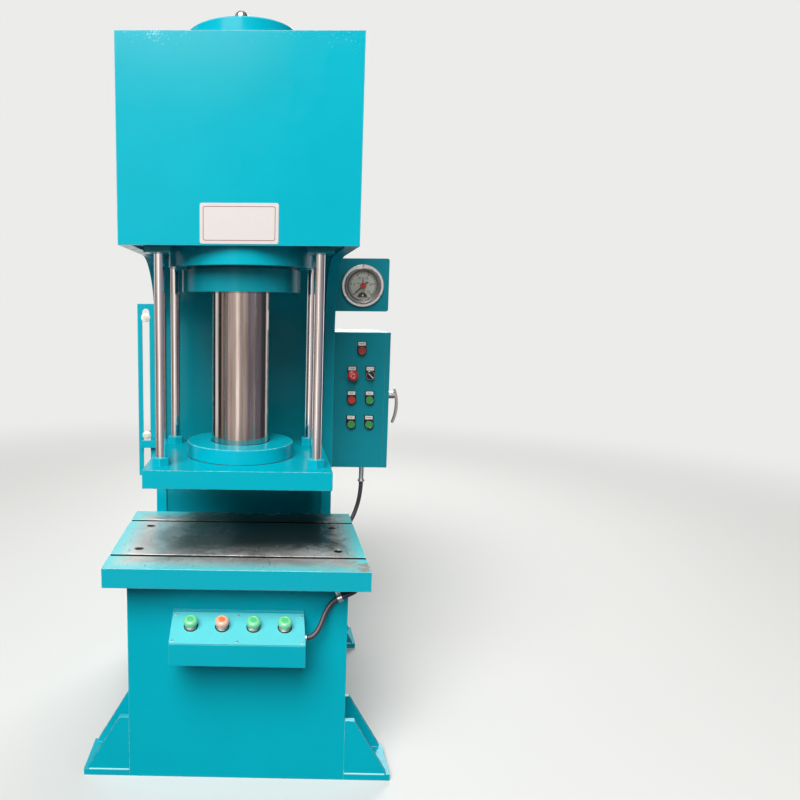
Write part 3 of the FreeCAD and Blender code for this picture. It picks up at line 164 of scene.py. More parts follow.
# what gloss and chrome see: degrees round from the viewer, left is negative, and the tone
ROOM = ((-180, "#F4F4F2"), (-152, "#F4F4F2"), (-148, "#1E1B1A"), (-121, "#221F1E"),
        (-117, "#FFFFFF"), (-101, "#FFFFFF"), (-97, "#332C29"), (-84, "#2E2826"),
        (-76, "#B5A69E"), (-68, "#6A605C"), (-60, "#A89A94"), (-54, "#776C68"),
        (-46, "#E2D2CD"), (-32, "#C9B9B2"), (-18, "#EFE2DC"), (-13, "#F4EEEA"),
        (-4, "#D8CCC5"), (6, "#B3A7A1"), (14, "#D2C6C1"), (26, "#B4A9A6"),
        (34, "#7F7A84"), (56, "#96909A"), (62, "#6F6A76"), (84, "#7A7580"),
        (94, "#4C4A50"), (119, "#3A383D"), (124, "#FFFFFF"), (147, "#FFFFFF"),
        (149, "#343438"), (152, "#F4F4F2"), (180, "#F4F4F2"))
way = node("SeparateXYZ", {0: node("TexCoord").outputs["Generated"]})
ahead = node("Math", {0: way.outputs["Y"], 1: -1.0}, operation="MULTIPLY")
around = node("Math", {0: way.outputs["X"], 1: ahead}, operation="ARCTAN2")
share = node("MapRange", {"Value": around, "From Min": -math.pi, "From Max": math.pi})
room = node("ValToRGB", {0: share})
stops = room.color_ramp.elements
stops[0].color = linear(ROOM[0][1])
stops[1].color = linear(ROOM[-1][1])
for degrees, tone in ROOM[1:-1]:
    stops.new((degrees + 180) / 360).color = linear(tone)
# a strip window on the left, brighter than white, draws the lines on the guide rods
WINDOW_LEFT, WINDOW_HALF, WINDOW_FADED = (math.radians(a) for a in (10, 5, 8))
WINDOW_GLARE = 1.9
off = node("Math", {0: around, 1: WINDOW_LEFT}, operation="ADD")
off = node("Math", {0: off}, operation="ABSOLUTE")
strip = node("MapRange", {"Value": off, "From Min": WINDOW_HALF, "From Max": WINDOW_FADED,
                          "To Min": WINDOW_GLARE, "To Max": 1.0})
mirrored = node("Background", {"Color": room, "Strength": strip})
paper = node("Background", {"Color": linear(BACKGROUND), "Strength": 1.0})
shown = node("MixShader", {0: ray.outputs["Is Glossy Ray"], 1: light, 2: mirrored})
both = node("MixShader", {0: seen, 1: shown, 2: paper})
node("OutputWorld", {"Surface": both})
print("a mirrored room of", len(ROOM), "tones")

# %% Floor that fades into the background
FLOOR_R, FADE_FROM, FADE_TO = 14.0, 2.2, 7.0
node = begin("matt_studio_floor")
place = node("NewGeometry")
far = node("VectorMath", {0: place}, operation="LENGTH")
fade = node("MapRange", {"Value": far, "From Min": FADE_FROM, "From Max": FADE_TO},
            interpolation_type="SMOOTHSTEP")
# pale for the eye, but it throws back only as much light as a grey workshop floor
ray = node("LightPath")
pale = node("Mix", {0: ray.outputs["Is Camera Ray"], 6: linear("#66666A"), 7: linear("#DEDEDB")},
            data_type="RGBA")
matt = node("BsdfPrincipled", {"Base Color": pale, "Roughness": 0.85, "IOR": 1.45,
                               "Specular IOR Level": 0.2})
glow = node("Emission", {"Color": linear(BACKGROUND), "Strength": 1.0})
shown = node("Math", {0: fade, 1: ray.outputs["Is Camera Ray"]}, operation="MULTIPLY")
mix = node("MixShader", {0: shown, 1: matt, 2: glow})
# in a mirror the far floor gives way to the room, so the ram's bands run down to its foot
mirror = node("Math", {0: fade, 1: ray.outputs["Is Glossy Ray"]}, operation="MULTIPLY")
gone = node("BsdfTransparent")
whole = node("MixShader", {0: mirror, 1: mix, 2: gone})
node("OutputMaterial", {"Surface": whole})

disc = bmesh.new()
bmesh.ops.create_circle(disc, cap_ends=True, segments=96, radius=FLOOR_R)
sheet = bpy.data.meshes.new("studio_floor")
disc.to_mesh(sheet)
disc.free()
sheet.materials.append(bpy.data.materials["matt_studio_floor"])
floor = bpy.data.objects.new("studio_floor", sheet)
bpy.context.scene.collection.objects.link(floor)
print("floor radius", FLOOR_R, "m")

# %% Lamps
def lamp(name, at, aim, size, watts):
    """A square soft lamp that looks from one point at another."""
    data = bpy.data.lights.new(name, "AREA")
    data.shape = "SQUARE"
    data.size = size
    data.energy = watts
    thing = bpy.data.objects.new(name, data)
    bpy.context.scene.collection.objects.link(thing)
    thing.location = Vector(at)
    thing.rotation_euler = (Vector(aim) - Vector(at)).to_track_quat("-Z", "Y").to_euler()
    return thing


lamp("lamp_left", (-3.30, -9.20, 9.90), (0, -0.1, 1.2), 9.0, 2150)
lamp("lamp_above", (-0.9, -4.3, 7.1), (0, -0.2, 0.8), 3.4, 190)
fill = lamp("lamp_right", (3.0, -2.4, 1.9), (0, 0, 1.0), 1.2, 7)
fill.visible_glossy = False  # it fills the shade and isn't mirrored in the ram
lamp("lamp_behind", (1.2, 4.2, 3.4), (0, 0.5, 1.1), 2.0, 130)
print(len(bpy.data.lights), "lamps")

# %% [markdown]
# ## Machine enamel
# The frame is welded from thick plate, filled, and sprayed with a two-part enamel. The gun leaves
# a faint orange peel, the filler under it a slow waviness, and the edges come out a little round
# because paint pulls back from a corner. Instead of thousands of faces, the finish bends its own
# shading over the last two millimetres of every edge and paints a pale cyan highlight into the
# colour there. That thin bright line makes plates look thick.

# %% Enamel
EDGE_MM, FILLER_MM, CLOUD_MM, DUST_MM = 2.2, 140, 260, 45
PEEL_MM = 7  # really 2 mm, but that would be too fine to show
CHIP_MM, FLECK_MM, FLECKS_MM = 22, 5, 75  # the last is how far down the flecks reach


def enamel(name, code, wearers="", peel=0.10, chips=0.0, gloss=0.15, flecks_below=None):
    """Sprayed enamel on plate. Chips is how much of the edges is worn to the pale primer;
    flecks_below is the height of a top edge under which the paint has come off in pale flecks."""
    node = begin(name, wearers)
    at = node("TexCoord").outputs["Object"]
    edge = node("Bevel", {"Radius": EDGE_MM * MM}, samples=4)
    ripple = node("TexNoise", {"Vector": at, "Scale": 1 / (PEEL_MM * MM), "Detail": 2.0,
                               "Roughness": 0.45})
    sag = node("TexNoise", {"Vector": at, "Scale": 1 / (FILLER_MM * MM), "Detail": 1.0})
    height = node("Math", {0: sag, 1: 3.0, 2: ripple}, operation="MULTIPLY_ADD")
    bump = node("Bump", {"Height": height, "Strength": peel, "Distance": 0.35 * MM, "Normal": edge})
    cloud = node("TexNoise", {"Vector": at, "Scale": 1 / (CLOUD_MM * MM), "Detail": 3.0,
                              "Roughness": 0.6})
    shift = node("MapRange", {"Value": cloud, "From Min": 0.3, "From Max": 0.7,
                              "To Min": 0.97, "To Max": 1.03})
    tint = node("HueSaturation", {"Color": linear(code), "Value": shift})
    dust = node("TexNoise", {"Vector": at, "Scale": 1 / (DUST_MM * MM), "Detail": 4.0,
                             "Roughness": 0.7})
    rough = node("MapRange", {"Value": dust, "From Min": 0.35, "From Max": 0.7,
                              "To Min": gloss, "To Max": gloss + 0.12})
    facing = node("NewGeometry").outputs["Normal"]
    bent = node("VectorMath", {0: edge, 1: facing}, operation="DOT_PRODUCT")
    near = node("MapRange", {"Value": bent, "From Min": 0.995, "From Max": 0.93})
    # a pale cyan painted highlight is mixed into the colour along the last two millimetres of every
    # edge
    thin = node("Math", {0: near, 1: 0.4}, operation="MULTIPLY")
    colour = node("Mix", {0: thin, 6: tint, 7: linear("#8FE6EC")}, data_type="RGBA")
    if chips:
        flake = node("TexNoise", {"Vector": at, "Scale": 1 / (CHIP_MM * MM), "Detail": 6.0,
                                  "Roughness": 0.75})
        spot = node("MapRange", {"Value": flake, "From Min": 0.62 - 0.12 * chips,
                                 "From Max": 0.66 - 0.12 * chips})
        worn = node("Math", {0: near, 1: spot}, operation="MULTIPLY")
        colour = node("Mix", {0: worn, 6: colour, 7: linear("#A9D9DB")}, data_type="RGBA")
    if flecks_below:
        up = node("SeparateXYZ", {0: at}).outputs["Z"]
        grit = node("TexNoise", {"Vector": at, "Scale": 1 / (FLECK_MM * MM), "Detail": 4.0,
                                 "Roughness": 0.75})
        rise = node("MapRange", {"Value": up, "From Min": flecks_below - FLECKS_MM * MM,
                                 "From Max": flecks_below, "To Max": 0.19})
        patchy = node("MapRange", {"Value": cloud, "From Min": 0.45, "From Max": 0.62,
                                   "To Min": -0.08, "To Max": 0.04})
        dense = node("Math", {0: rise, 1: patchy}, operation="ADD")
        dense = node("Math", {0: dense, 1: grit}, operation="ADD")
        fleck = node("MapRange", {"Value": dense, "From Min": 0.73, "From Max": 0.82,
                                  "To Max": 0.6})
        colour = node("Mix", {0: fleck, 6: colour, 7: linear("#C8F4F4")}, data_type="RGBA")
    shader = node("BsdfPrincipled", {"Base Color": colour, "Roughness": rough, "IOR": 1.52,
                                     "Specular IOR Level": 0.15, "Normal": bump})
    node("OutputMaterial", {"Surface": shader})


enamel("teal_two_part_enamel", TEAL,
       "side_plate_left side_plate_right head_top_plate cylinder_mount_plate back_plate rod_nuts "
       "base_front_panel base_floor_plate table_support cylinder_barrel cylinder_cap trip_arm")
enamel("teal_enamel_worn_along_head_edges", TEAL, "head_front_cover", chips=1.9,
       flecks_below=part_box("head_front_cover")[1].z)
enamel("teal_enamel_chipped_at_edges", TEAL, "ram_flange feet slide_plate", chips=1.0)
enamel("teal_enamel_on_folded_sheet", "#06ACBE", "switch_rail console_box rear_door",
       peel=0.07, gloss=0.28)
# a darker copy of the teal as painted shade in the throat, on the gland ring and the bushes
enamel("teal_enamel_darkened_as_painted_shade_in_throat", "#0A8E9C", "throat_wall gland_ring guide_bushes")
# a darker copy of the teal as painted shade on the side box, its door and the gauge plate
enamel("teal_enamel_darkened_as_painted_shade_on_side_box", "#148F9D", "control_box box_door gauge_plate",
       peel=0.09, gloss=0.3)
enamel("grey_alkyd_on_cast_iron", "#4A5560", "pump_motor", peel=0.2, gloss=0.4)
enamel("pale_grey_powder_coat", "#A9AEAE", "oil_tank", peel=0.2, gloss=0.42)
# pale cyan all over: a painted highlight on the weld beads
enamel("pale_enamel_as_painted_highlight_on_weld_beads", "#B0EEF0", peel=0.3, chips=1.0)
# a paler copy of the teal as painted light on the lid, which faces up to the lamp
enamel("teal_enamel_paled_as_painted_light_on_console_lid", "#60CDD3", "console_panel",
       peel=0.55, chips=0.4, gloss=0.2)
print("enamel: peel", PEEL_MM, "mm, filler", FILLER_MM, "mm, edge", EDGE_MM, "mm")

# %% [markdown]
# ## Hard chrome
# The ram and the guide rods are ground, hard chromed and polished while turning. That leaves rings
# far too fine to see, which smear every reflection into upright bands. An anisotropic metal gives
# the smear; a slight waviness keeps it from being ruler straight, and an oil film warms the tone.

# %% Hard chrome
STREAK_MM, STRETCH = 14, 25


def hard_chrome(name, wearers, code, film_code, smear):
    """Ground and chromed steel, smeared along Z."""
    node = begin(name, wearers)
    at = node("TexCoord").outputs["Object"]
    long = node("Mapping", {"Vector": at, "Scale": (1, 1, 1 / STRETCH)})
    film = node("TexNoise", {"Vector": long, "Scale": 1 / (STREAK_MM * MM), "Detail": 3.0,
                             "Roughness": 0.6})
    oily = node("MapRange", {"Value": film, "From Min": 0.42, "From Max": 0.7})
    tone = node("Mix", {0: oily, 6: linear(code), 7: linear(film_code)}, data_type="RGBA")
    rough = node("MapRange", {"Value": film, "From Min": 0.3, "From Max": 0.7,
                              "To Min": 0.06, "To Max": 0.14})
    wave = node("Bump", {"Height": film, "Strength": 0.05, "Distance": 0.2 * MM})
    around = node("Tangent", direction_type="RADIAL", axis="Z")
    shader = node("BsdfPrincipled", {"Base Color": tone, "Metallic": 1.0,
                                     "Roughness": rough, "Anisotropic": smear,
                                     "Tangent": around, "Normal": wave})
    node("OutputMaterial", {"Surface": shader})


hard_chrome("hard_chrome_on_ground_ram", "ram", "#C8C1BD", "#ADA199", 0.75)
hard_chrome("hard_chrome_on_guide_rods", "guide_rods", "#FFFFFF", "#E2DAD6", 0.6)
print("chrome: film streaks", STREAK_MM, "mm wide and", STREAK_MM * STRETCH, "mm long")

# %% [markdown]
# ## The table's worn top
# The top of the table is ground bare steel, its sides are enamelled like the frame. Both are one
# solid, so the finish asks where a point lies and which way its face looks: the outer skin is
# paint unless it looks up. On the steel lie brown oil stains, a greyer middle, a polished field
# where the tools stand that is painted dark as reflection and shade, rust at the right end of the
# front slot, a mist of paint with a painted cyan reflection in it, fine scratches, a painted
# near-white highlight along the rim and painted shade inside the slots.

# %% Table: steel on top, paint round it
node = begin("ground_steel_and_enamel_table", "bolster_table")
at = node("TexCoord").outputs["Object"]
split = node("SeparateXYZ", {0: at})
facing = node("SeparateXYZ", {0: node("NewGeometry").outputs["Normal"]})
upward = node("Math", {0: facing.outputs["Z"], 1: 0.7}, operation="GREATER_THAN")
# a point is painted where it lies on the outer skin
SKIN, ANY = 0.4 * MM, 9.0
PATCH_MM, STAIN_MM, SCRATCH_MM = 160, 70, 9
low_corner, high_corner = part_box("bolster_table")
outward = node("VectorMath", {0: at}, operation="ABSOLUTE")
outward = node("VectorMath", {0: outward, 1: (high_corner.x - SKIN, high_corner.y - SKIN, ANY)},
               operation="SUBTRACT")
apart = node("SeparateXYZ", {0: outward})
widest = node("Math", {0: apart.outputs["X"], 1: apart.outputs["Y"]}, operation="MAXIMUM")
outer = node("Math", {0: widest, 1: 0.0}, operation="GREATER_THAN")
under = node("Math", {0: split.outputs["Z"], 1: low_corner.z + SKIN}, operation="LESS_THAN")
outside = node("Math", {0: outer, 1: under}, operation="MAXIMUM")
painted = node("Math", {0: outside, 1: upward}, operation="SUBTRACT", use_clamp=True)
top = node("Math", {0: 1.0, 1: painted}, operation="SUBTRACT")
cloud = node("TexNoise", {"Vector": at, "Scale": 1 / (PATCH_MM * MM), "Detail": 6.0,
                          "Roughness": 0.62, "Distortion": 0.6})
stain = node("TexNoise", {"Vector": at, "Scale": 1 / (STAIN_MM * MM), "Detail": 8.0,
                          "Roughness": 0.7, "Distortion": 1.2})
scuffs = node("Mapping", {"Vector": at, "Rotation": (0, 0, 0.6), "Scale": (1, 0.16, 1)})
scratch = node("TexNoise", {"Vector": scuffs, "Scale": 1 / (SCRATCH_MM * MM), "Detail": 5.0,
                            "Roughness": 0.8})
print("table: steel above", round(high_corner.z, 3), "m")

# %% Table: where wear, painted reflection, highlight and shade lie
# soft fields on the top in metres: middle, half size, and how blurred and ragged the border is
FIELDS = {
    "greyed_middle": ((0.055, 0.10), (0.235, 0.20), 0.05, 0.20),     # greyer over the middle
    "polish_and_painted_reflection": ((0.135, 0.10), (0.165, 0.17), 0.05, 0.16),      # polished where the tools stand, and painted dark as reflection and shade
    "smeared": ((-0.02, -0.10), (0.19, 0.10), 0.07, 0.30),     # oil towards the front
}
field = {}
for name, (centre, half, blur, ragged) in FIELDS.items():
    away = node("VectorMath", {0: at, 1: (*centre, 0)}, operation="SUBTRACT")
    away = node("VectorMath", {0: away}, operation="ABSOLUTE")
    past = node("VectorMath", {0: away, 1: (*half, ANY)}, operation="SUBTRACT")
    part = node("SeparateXYZ", {0: past})
    far = node("Math", {0: part.outputs["X"], 1: part.outputs["Y"]}, operation="MAXIMUM")
    far = node("Math", {0: stain, 1: ragged, 2: far}, operation="MULTIPLY_ADD")
    field[name] = node("MapRange", {"Value": far, "From Min": ragged / 2 + blur,
                                    "From Max": ragged / 2 - blur},
                       interpolation_type="SMOOTHSTEP")
steel = node("MapRange", {"Value": cloud, "From Min": 0.3, "From Max": 0.7})
# towards the rim: paint mist and a painted cyan reflection
rimmed = node("MapRange", {"Value": widest, "From Min": -0.075, "From Max": -0.012})
oily = node("MapRange", {"Value": stain, "From Min": 0.36, "From Max": 0.58})
oil = node("Math", {0: field["smeared"], 1: oily}, operation="MULTIPLY")
line = node("MapRange", {"Value": scratch, "From Min": 0.60, "From Max": 0.68})
# rust keeps to the right end of the slots and their lips
to_right = node("MapRange", {"Value": split.outputs["X"], "From Min": 0.20, "From Max": 0.36})
rusty = node("MapRange", {"Value": stain, "From Min": 0.46, "From Max": 0.57})
to_front = node("MapRange", {"Value": split.outputs["Y"], "From Min": -0.10, "From Max": -0.17})
rust = node("Math", {0: to_right, 1: rusty}, operation="MULTIPLY")
rust = node("Math", {0: rust, 1: to_front}, operation="MULTIPLY")
edge = node("Bevel", {"Radius": 2.4 * MM}, samples=4)
flat = node("NewGeometry").outputs["Normal"]
bent = node("VectorMath", {0: edge, 1: flat}, operation="DOT_PRODUCT")
# a near-white painted highlight where the bevelled shading bends at the rim's edges
painted_rim_highlight = node("MapRange", {"Value": bent, "From Min": 0.995, "From Max": 0.9})
at_rim = node("Math", {0: widest, 1: -8 * MM}, operation="GREATER_THAN")
painted_rim_highlight = node("Math", {0: painted_rim_highlight, 1: at_rim}, operation="MULTIPLY")
# inside the slots the colour is darkened as painted shade
painted_slot_shade = node("Math", {0: split.outputs["Z"], 1: high_corner.z - 2 * MM}, operation="LESS_THAN")
print(len(FIELDS), "fields on the table's top")

# %% Table: layers of wear and painted light
# what lies on the steel, from the bottom up: where, its colour and how much of it at most
LAYERS = (
    (steel, "#B6AEA8", 1.0),
    (rimmed, "#48E2E8", 0.86),             # paint mist along the edges, with a painted cyan reflection in it
    (field["greyed_middle"], "#665A52", 0.8),
    (oil, "#5E4538", 0.8),
    (field["polish_and_painted_reflection"], "#3C2E2C", 0.94),
    (line, "#2A2220", 0.8),
    (rust, "#A4664A", 0.72),
    # the near-white painted highlight along the rim's edges
    (painted_rim_highlight, "#E4FBFA", 0.7),
    (painted_slot_shade, "#14181A", 0.95),               # painted shade inside the slots
)
bare = linear("#F2ECE6")
for mask, code, most in LAYERS:
    share = node("Math", {0: mask, 1: most}, operation="MULTIPLY")
    bare = node("Mix", {0: share, 6: bare, 7: linear(code)}, data_type="RGBA")
# the same painted highlight along the edges of the painted sides
share = node("Math", {0: painted_rim_highlight, 1: 0.7}, operation="MULTIPLY")
paint = node("Mix", {0: share, 6: linear(TEAL), 7: linear("#E4FBFA")}, data_type="RGBA")
colour = node("Mix", {0: top, 6: paint, 7: bare}, data_type="RGBA")
smooth = node("MapRange", {"Value": field["polish_and_painted_reflection"], "To Min": 0.26, "To Max": 0.14})
rough = node("Mix", {0: top, 2: 0.2, 3: smooth}, data_type="FLOAT")
shine = node("MapRange", {"Value": field["polish_and_painted_reflection"], "To Min": 0.5, "To Max": 0.35})
shine = node("Math", {0: rimmed, 1: -0.4, 2: shine}, operation="MULTIPLY_ADD")
dull = node("Math", {0: rust, 1: -0.5, 2: shine}, operation="MULTIPLY_ADD")
metal = node("Math", {0: dull, 1: top}, operation="MULTIPLY", use_clamp=True)
bump = node("Bump", {"Height": scratch, "Strength": 0.1, "Distance": 0.3 * MM, "Normal": edge})
shader = node("BsdfPrincipled", {"Base Color": colour, "Roughness": rough, "Metallic": metal,
                                 "Normal": bump})
node("OutputMaterial", {"Surface": shader})
print(len(LAYERS), "layers on its steel")

# %% [markdown]
# ## Small metals and plastics
# Turned small parts have nickel, zinc or black oxide, and the gland is bronze. The buttons are
# moulded from clear-bodied plastic, so they carry a clear coat; their holders are matt black.

# %% Small metals, plastics and inks
def small_part(name, wearers, code, rough, coat, grain, mm=1.2):
    """A small part with a faint grain of that many millimetres; metal is what has no coat."""
    metal = coat is None
    detail, edge_mm, dark = (3.0, 0.8, 0.9) if metal else (2.0, 0.6, 0.93)
    node = begin(name, wearers)
    at = node("TexCoord").outputs["Object"]
    fine = node("TexNoise", {"Vector": at, "Scale": 1 / (mm * MM), "Detail": detail})
    soft = node("Bevel", {"Radius": edge_mm * MM}, samples=4)
    bump = node("Bump", {"Height": fine, "Strength": grain, "Distance": 0.1 * MM, "Normal": soft})
    spread = {"Value": fine, "From Min": 0.3, "From Max": 0.7}
    kind = {"IOR": 1.49, "Coat Weight": coat, "Coat Roughness": 0.05}
    if metal:
        kind = {"Metallic": 1.0}
        rough = node("MapRange", {**spread, "To Min": rough, "To Max": rough + 0.12})
    shade = node("MapRange", {**spread, "To Min": dark, "To Max": 1.05})
    tone = node("HueSaturation", {"Color": linear(code), "Value": shade})
    shader = node("BsdfPrincipled", {"Base Color": tone, "Roughness": rough, "Normal": bump,
                                     **kind})
    node("OutputMaterial", {"Surface": shader})


SMALL = (  # name, wearers, colour, roughness, coat, grain, its mm
    ("nickel_plated_brass", "filler_plug latch_handle", "#D9D7D2", 0.16, None, 0.1, 3),
    ("satin_nickel_on_brass", "gauge_ring button_collars", "#DEDCD8", 0.34, None, 0.2, 3),
    ("tarnished_brass_funnel", "", "#8C7C76", 0.4, None, 0.2, 3),
    ("pale_zinc_and_cream_cap", "proximity_sensors", "#F2F2EA", 0.42, None, 0.2, 3),
    ("bright_zinc_plate", "conduit_fittings", "#E6EAEC", 0.36, None, 0.25, 4),
    ("black_oxide_on_steel", "frame_screws slide_screws", "#35373A", 0.38, None, 0.25, 2),
    ("turned_tin_bronze", "gland_bush", "#B98A52", 0.28, None, 0.2, 3),
    ("machined_steel", "piston valve_block", "#A5A7A8", 0.3, None, 0.25, 3),
    ("red_acrylic_button", "estop_button stop_button", "#D42A22", 0.18, 0.6, 0.05),
    ("dark_red_acrylic_lamp", "pilot_lamp", "#A3202B", 0.2, 0.6, 0.05),
    ("green_acrylic_button", "start_button up_button down_button", "#2F9E46", 0.2, 0.5, 0.05),
    ("pale_red_acrylic_rim", "", "#E8605A", 0.16, 0.6, 0.05),
    ("pale_green_acrylic_rim", "", "#6FC98A", 0.16, 0.6, 0.05),
    ("green_nylon_mushroom", "palm_button_1 palm_button_3 palm_button_4",
     "#7FDCA2", 0.24, 0.4, 0.06),
    ("orange_red_nylon_mushroom", "palm_button_2", "#F4B8A2", 0.24, 0.4, 0.06),
    ("dark_green_inlaid_disc", "", "#58C684", 0.3, 0.0, 0.06),
    ("orange_inlaid_disc", "", "#EE8246", 0.3, 0.0, 0.06),
    ("black_glass_filled_nylon", "operator_bezels selector_knob gauge_case",
     "#17181A", 0.42, 0.0, 0.15),
    ("black_rubber_wiper", "", "#141516", 0.6, 0.0, 0.15),
    ("grey_pvc_sheath", "conduit", "#48464C", 0.3, 0.0, 0.1, 3),
    ("cream_polyamide_sensor_cap", "", "#E9E2CC", 0.35, 0.0, 0.15),
    # dark teal rings laid as painted shade in the slide's joints
    ("oil_dark_sealing_compound", "", "#0E2F36", 0.35, 0.0, 0.15),
    ("cream_printed_dial", "gauge_dial", "#FFF6EC", 0.4, 0.0, 0.05),
    ("white_enamelled_label", "label_plate", "#DCD4D0", 0.4, 0.0, 0.05),
    ("white_painted_aluminium_dial", "", "#F3F0EA", 0.45, 0.0, 0.05),
    ("dull_red_ink", "", "#7E2A30", 0.5, 0.0, 0.05),
    ("black_screen_ink", "gauge_pointer", "#121314", 0.5, 0.0, 0.05),
)
for entry in SMALL:
    small_part(*entry)
print(len(SMALL), "small metals, plastics and inks")

# %% Window of the gauge
node = begin("clear_float_glass", "gauge_glass")
at = node("TexCoord").outputs["Object"]
smear = node("TexNoise", {"Vector": at, "Scale": 1 / (25 * MM), "Detail": 3.0})
touch = node("MapRange", {"Value": smear, "From Min": 0.4, "From Max": 0.8, "To Min": 0.02,
                          "To Max": 0.1})
glass = node("BsdfGlossy", {"Color": linear("#FFFFFF"), "Roughness": touch})
clear = node("BsdfTransparent", {"Color": linear("#F7FAF9")})
share = node("Fresnel", {"IOR": 1.5})
half = node("Math", {0: share, 1: 0.6}, operation="MULTIPLY")
pane = node("MixShader", {0: half, 1: clear, 2: glass})
node("OutputMaterial", {"Surface": pane})
assert dressed == set(nodes), set(nodes) ^ dressed
print(len(dressed), "nodes dressed")

# %% [markdown]
# ## Helpers for small pieces
# The solids stop at screws' sockets, print and ribs, so those are made here. Nearly all are rows
# of points joined into a skin: a turned rim, an insert cut from sheet, a rib of the conduit. One
# helper joins rows, the others say where the rows lie. Each takes a spot, which says where the
# piece sits and which way it looks, and millimetres: X to its right, Y up, Z out to the viewer.

# %% Places and new pieces
def spun(spot, degrees):
    """A spot turned on its own Z."""
    return spot @ Matrix.Rotation(math.radians(degrees), 4, "Z")


def spot_at(at, out=(0, -1, 0), up=(0, 0, 1), turn=0.0):
    """Where a small piece sits: Z looks out of the surface, Y up, turned by some degrees."""
    z = Vector(out).normalized()
    x = Vector(up).cross(z).normalized()
    axes = Matrix((x, z.cross(x), z)).transposed().to_4x4()
    return spun(Matrix.Translation(Vector(at) * MM) @ axes, turn)


def box_mm(name):
    """The lowest and highest corner of a node's box, in millimetres."""
    return [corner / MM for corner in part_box(name)]


def middle(name):
    """The middle of a node's box, in millimetres."""
    low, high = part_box(name)
    return (low + high) / 2 / MM


def front(name):
    """The height of a node's front face along Y, in millimetres."""
    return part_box(name)[0].y / MM


def before(name, y, up=0.0, turn=0.0):
    """A spot that looks forward, in front of a node's middle or so far above it."""
    at = middle(name)
    return spot_at((at.x, y, at.z + up), turn=turn)


def piece(name, shape, finish, body, slot, *stands_for):
    """Turn a finished bmesh into a piece that wears a finish and rides on a body."""
    bmesh.ops.remove_doubles(shape, verts=shape.verts, dist=0.002 * MM)
    bmesh.ops.recalc_face_normals(shape, faces=shape.faces)
    mesh = bpy.data.meshes.new(name)
    shape.to_mesh(mesh)
    shape.free()
    mesh.shade_smooth()
    mesh.set_sharp_from_angle(angle=math.radians(35))
    mesh.materials.append(bpy.data.materials[finish])
    thing = bpy.data.objects.new(name, mesh)
    bpy.context.scene.collection.objects.link(thing)
    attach(thing, body)
    if stands_for:
        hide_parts(*stands_for)
    return thing


print("gauge ring's middle", [round(v, 1) for v in middle("gauge_ring")])


# %% Skins
def skin(shape, spot, rows):
    """Join rows of as many points into a body, with flat ends unless the last row is the first."""
    made = [[shape.verts.new(spot @ (Vector(point) * MM)) for point in row] for row in rows]
    for low, high in zip(made, made[1:]):
        for k in range(len(low)):
            shape.faces.new((low[k - 1], low[k], high[k], high[k - 1]))
    if rows[0] != rows[-1]:
        shape.faces.new(made[0])
        shape.faces.new(made[-1])


def all_round(steps):
    """Angles in equal steps all the way round."""
    return [2 * math.pi * k / steps for k in range(steps)]


def ring(radius, height, angles):
    """Points round the spot's Z."""
    return [(radius * math.cos(a), radius * math.sin(a), height) for a in angles]


def turned(shape, spot, profile, steps=40, first=0.0, span=360.0):
    """A body turned about the spot's Z from (radius, height) corners, or an arc of such a body."""
    gaps = steps if span == 360 else steps - 1
    angles = [math.radians(first + span * k / gaps) for k in range(steps)]
    rows = [ring(radius, height, angles) for radius, height in profile]
    skin(shape, spot, rows if span == 360 else list(zip(*rows)))


def plate(shape, spot, outline, thick, soften=0.0, lift=0.0):
    """A flat body with this outline and a broken front edge."""
    at_x = sum(x for x, y in outline) / len(outline)
    at_y = sum(y for x, y in outline) / len(outline)
    rows = []
    for height, inset in ((lift, 0.0), (lift + thick - soften, 0.0), (lift + thick, soften)):
        row = []
        for x, y in outline:
            keep = 1 - inset / math.hypot(x - at_x, y - at_y)
            row.append((at_x + (x - at_x) * keep, at_y + (y - at_y) * keep, height))
        rows.append(row)
    skin(shape, spot, rows)


def rounded(width, height, corner, steps=6):
    """Outline of a rounded rectangle."""
    points = []
    for k, (sx, sy) in enumerate(((1, 1), (-1, 1), (-1, -1), (1, -1))):
        for step in range(steps + 1):
            angle = math.pi / 2 * (k + step / steps)
            points.append((sx * (width / 2 - corner) + corner * math.cos(angle),
                           sy * (height / 2 - corner) + corner * math.sin(angle)))
    return points


def words(shape, spot, text, size, at=(0.0, 0.0), lift=0.05):
    """Words or figures as thin raised print, centred on a point of the spot."""
    font = bpy.data.curves.new("print", "FONT")
    font.body = text
    font.size = size
    font.align_x = font.align_y = "CENTER"
    font.resolution_u = 2
    font.extrude = 0.05
    carrier = bpy.data.objects.new("print", font)
    raised = bpy.data.meshes.new_from_object(carrier)
    before = len(shape.verts)
    shape.from_mesh(raised)
    shape.verts.ensure_lookup_table()
    move = spot @ Matrix.Scale(MM, 4) @ Matrix.Translation((at[0], at[1], lift))
    bmesh.ops.transform(shape, matrix=move, verts=shape.verts[before:])
    bpy.data.objects.remove(carrier)
    bpy.data.curves.remove(font)
    bpy.data.meshes.remove(raised)


print("an insert's outline has", len(rounded(27, 13, 1)), "corners")

# %% [markdown]
# ## Screw heads
# Cylinder head screws hold cap, gland, table and slide. Their heads lie in counterbores, and what
# the eye finds there is the six sided socket, so each head gets a bevelled cap with a real recess.
# The console's lid, the clip and the gauge's ring are held by small pan heads with a slot. Both
# are one skin with another recess: how far from the middle its edge lies at every angle.

# %% Screw heads
TINY = 1e-6


def six_sided(across):
    """How far a hexagon's edge lies from its middle at an angle."""
    return lambda a: across / 2 / math.cos((a + math.pi / 6) % (math.pi / 3) - math.pi / 6)


def slotted(length, width):
    """The same for a slot."""
    return lambda a: min(length / 2 / max(abs(math.cos(a)), TINY),
                         width / 2 / max(abs(math.sin(a)), TINY))


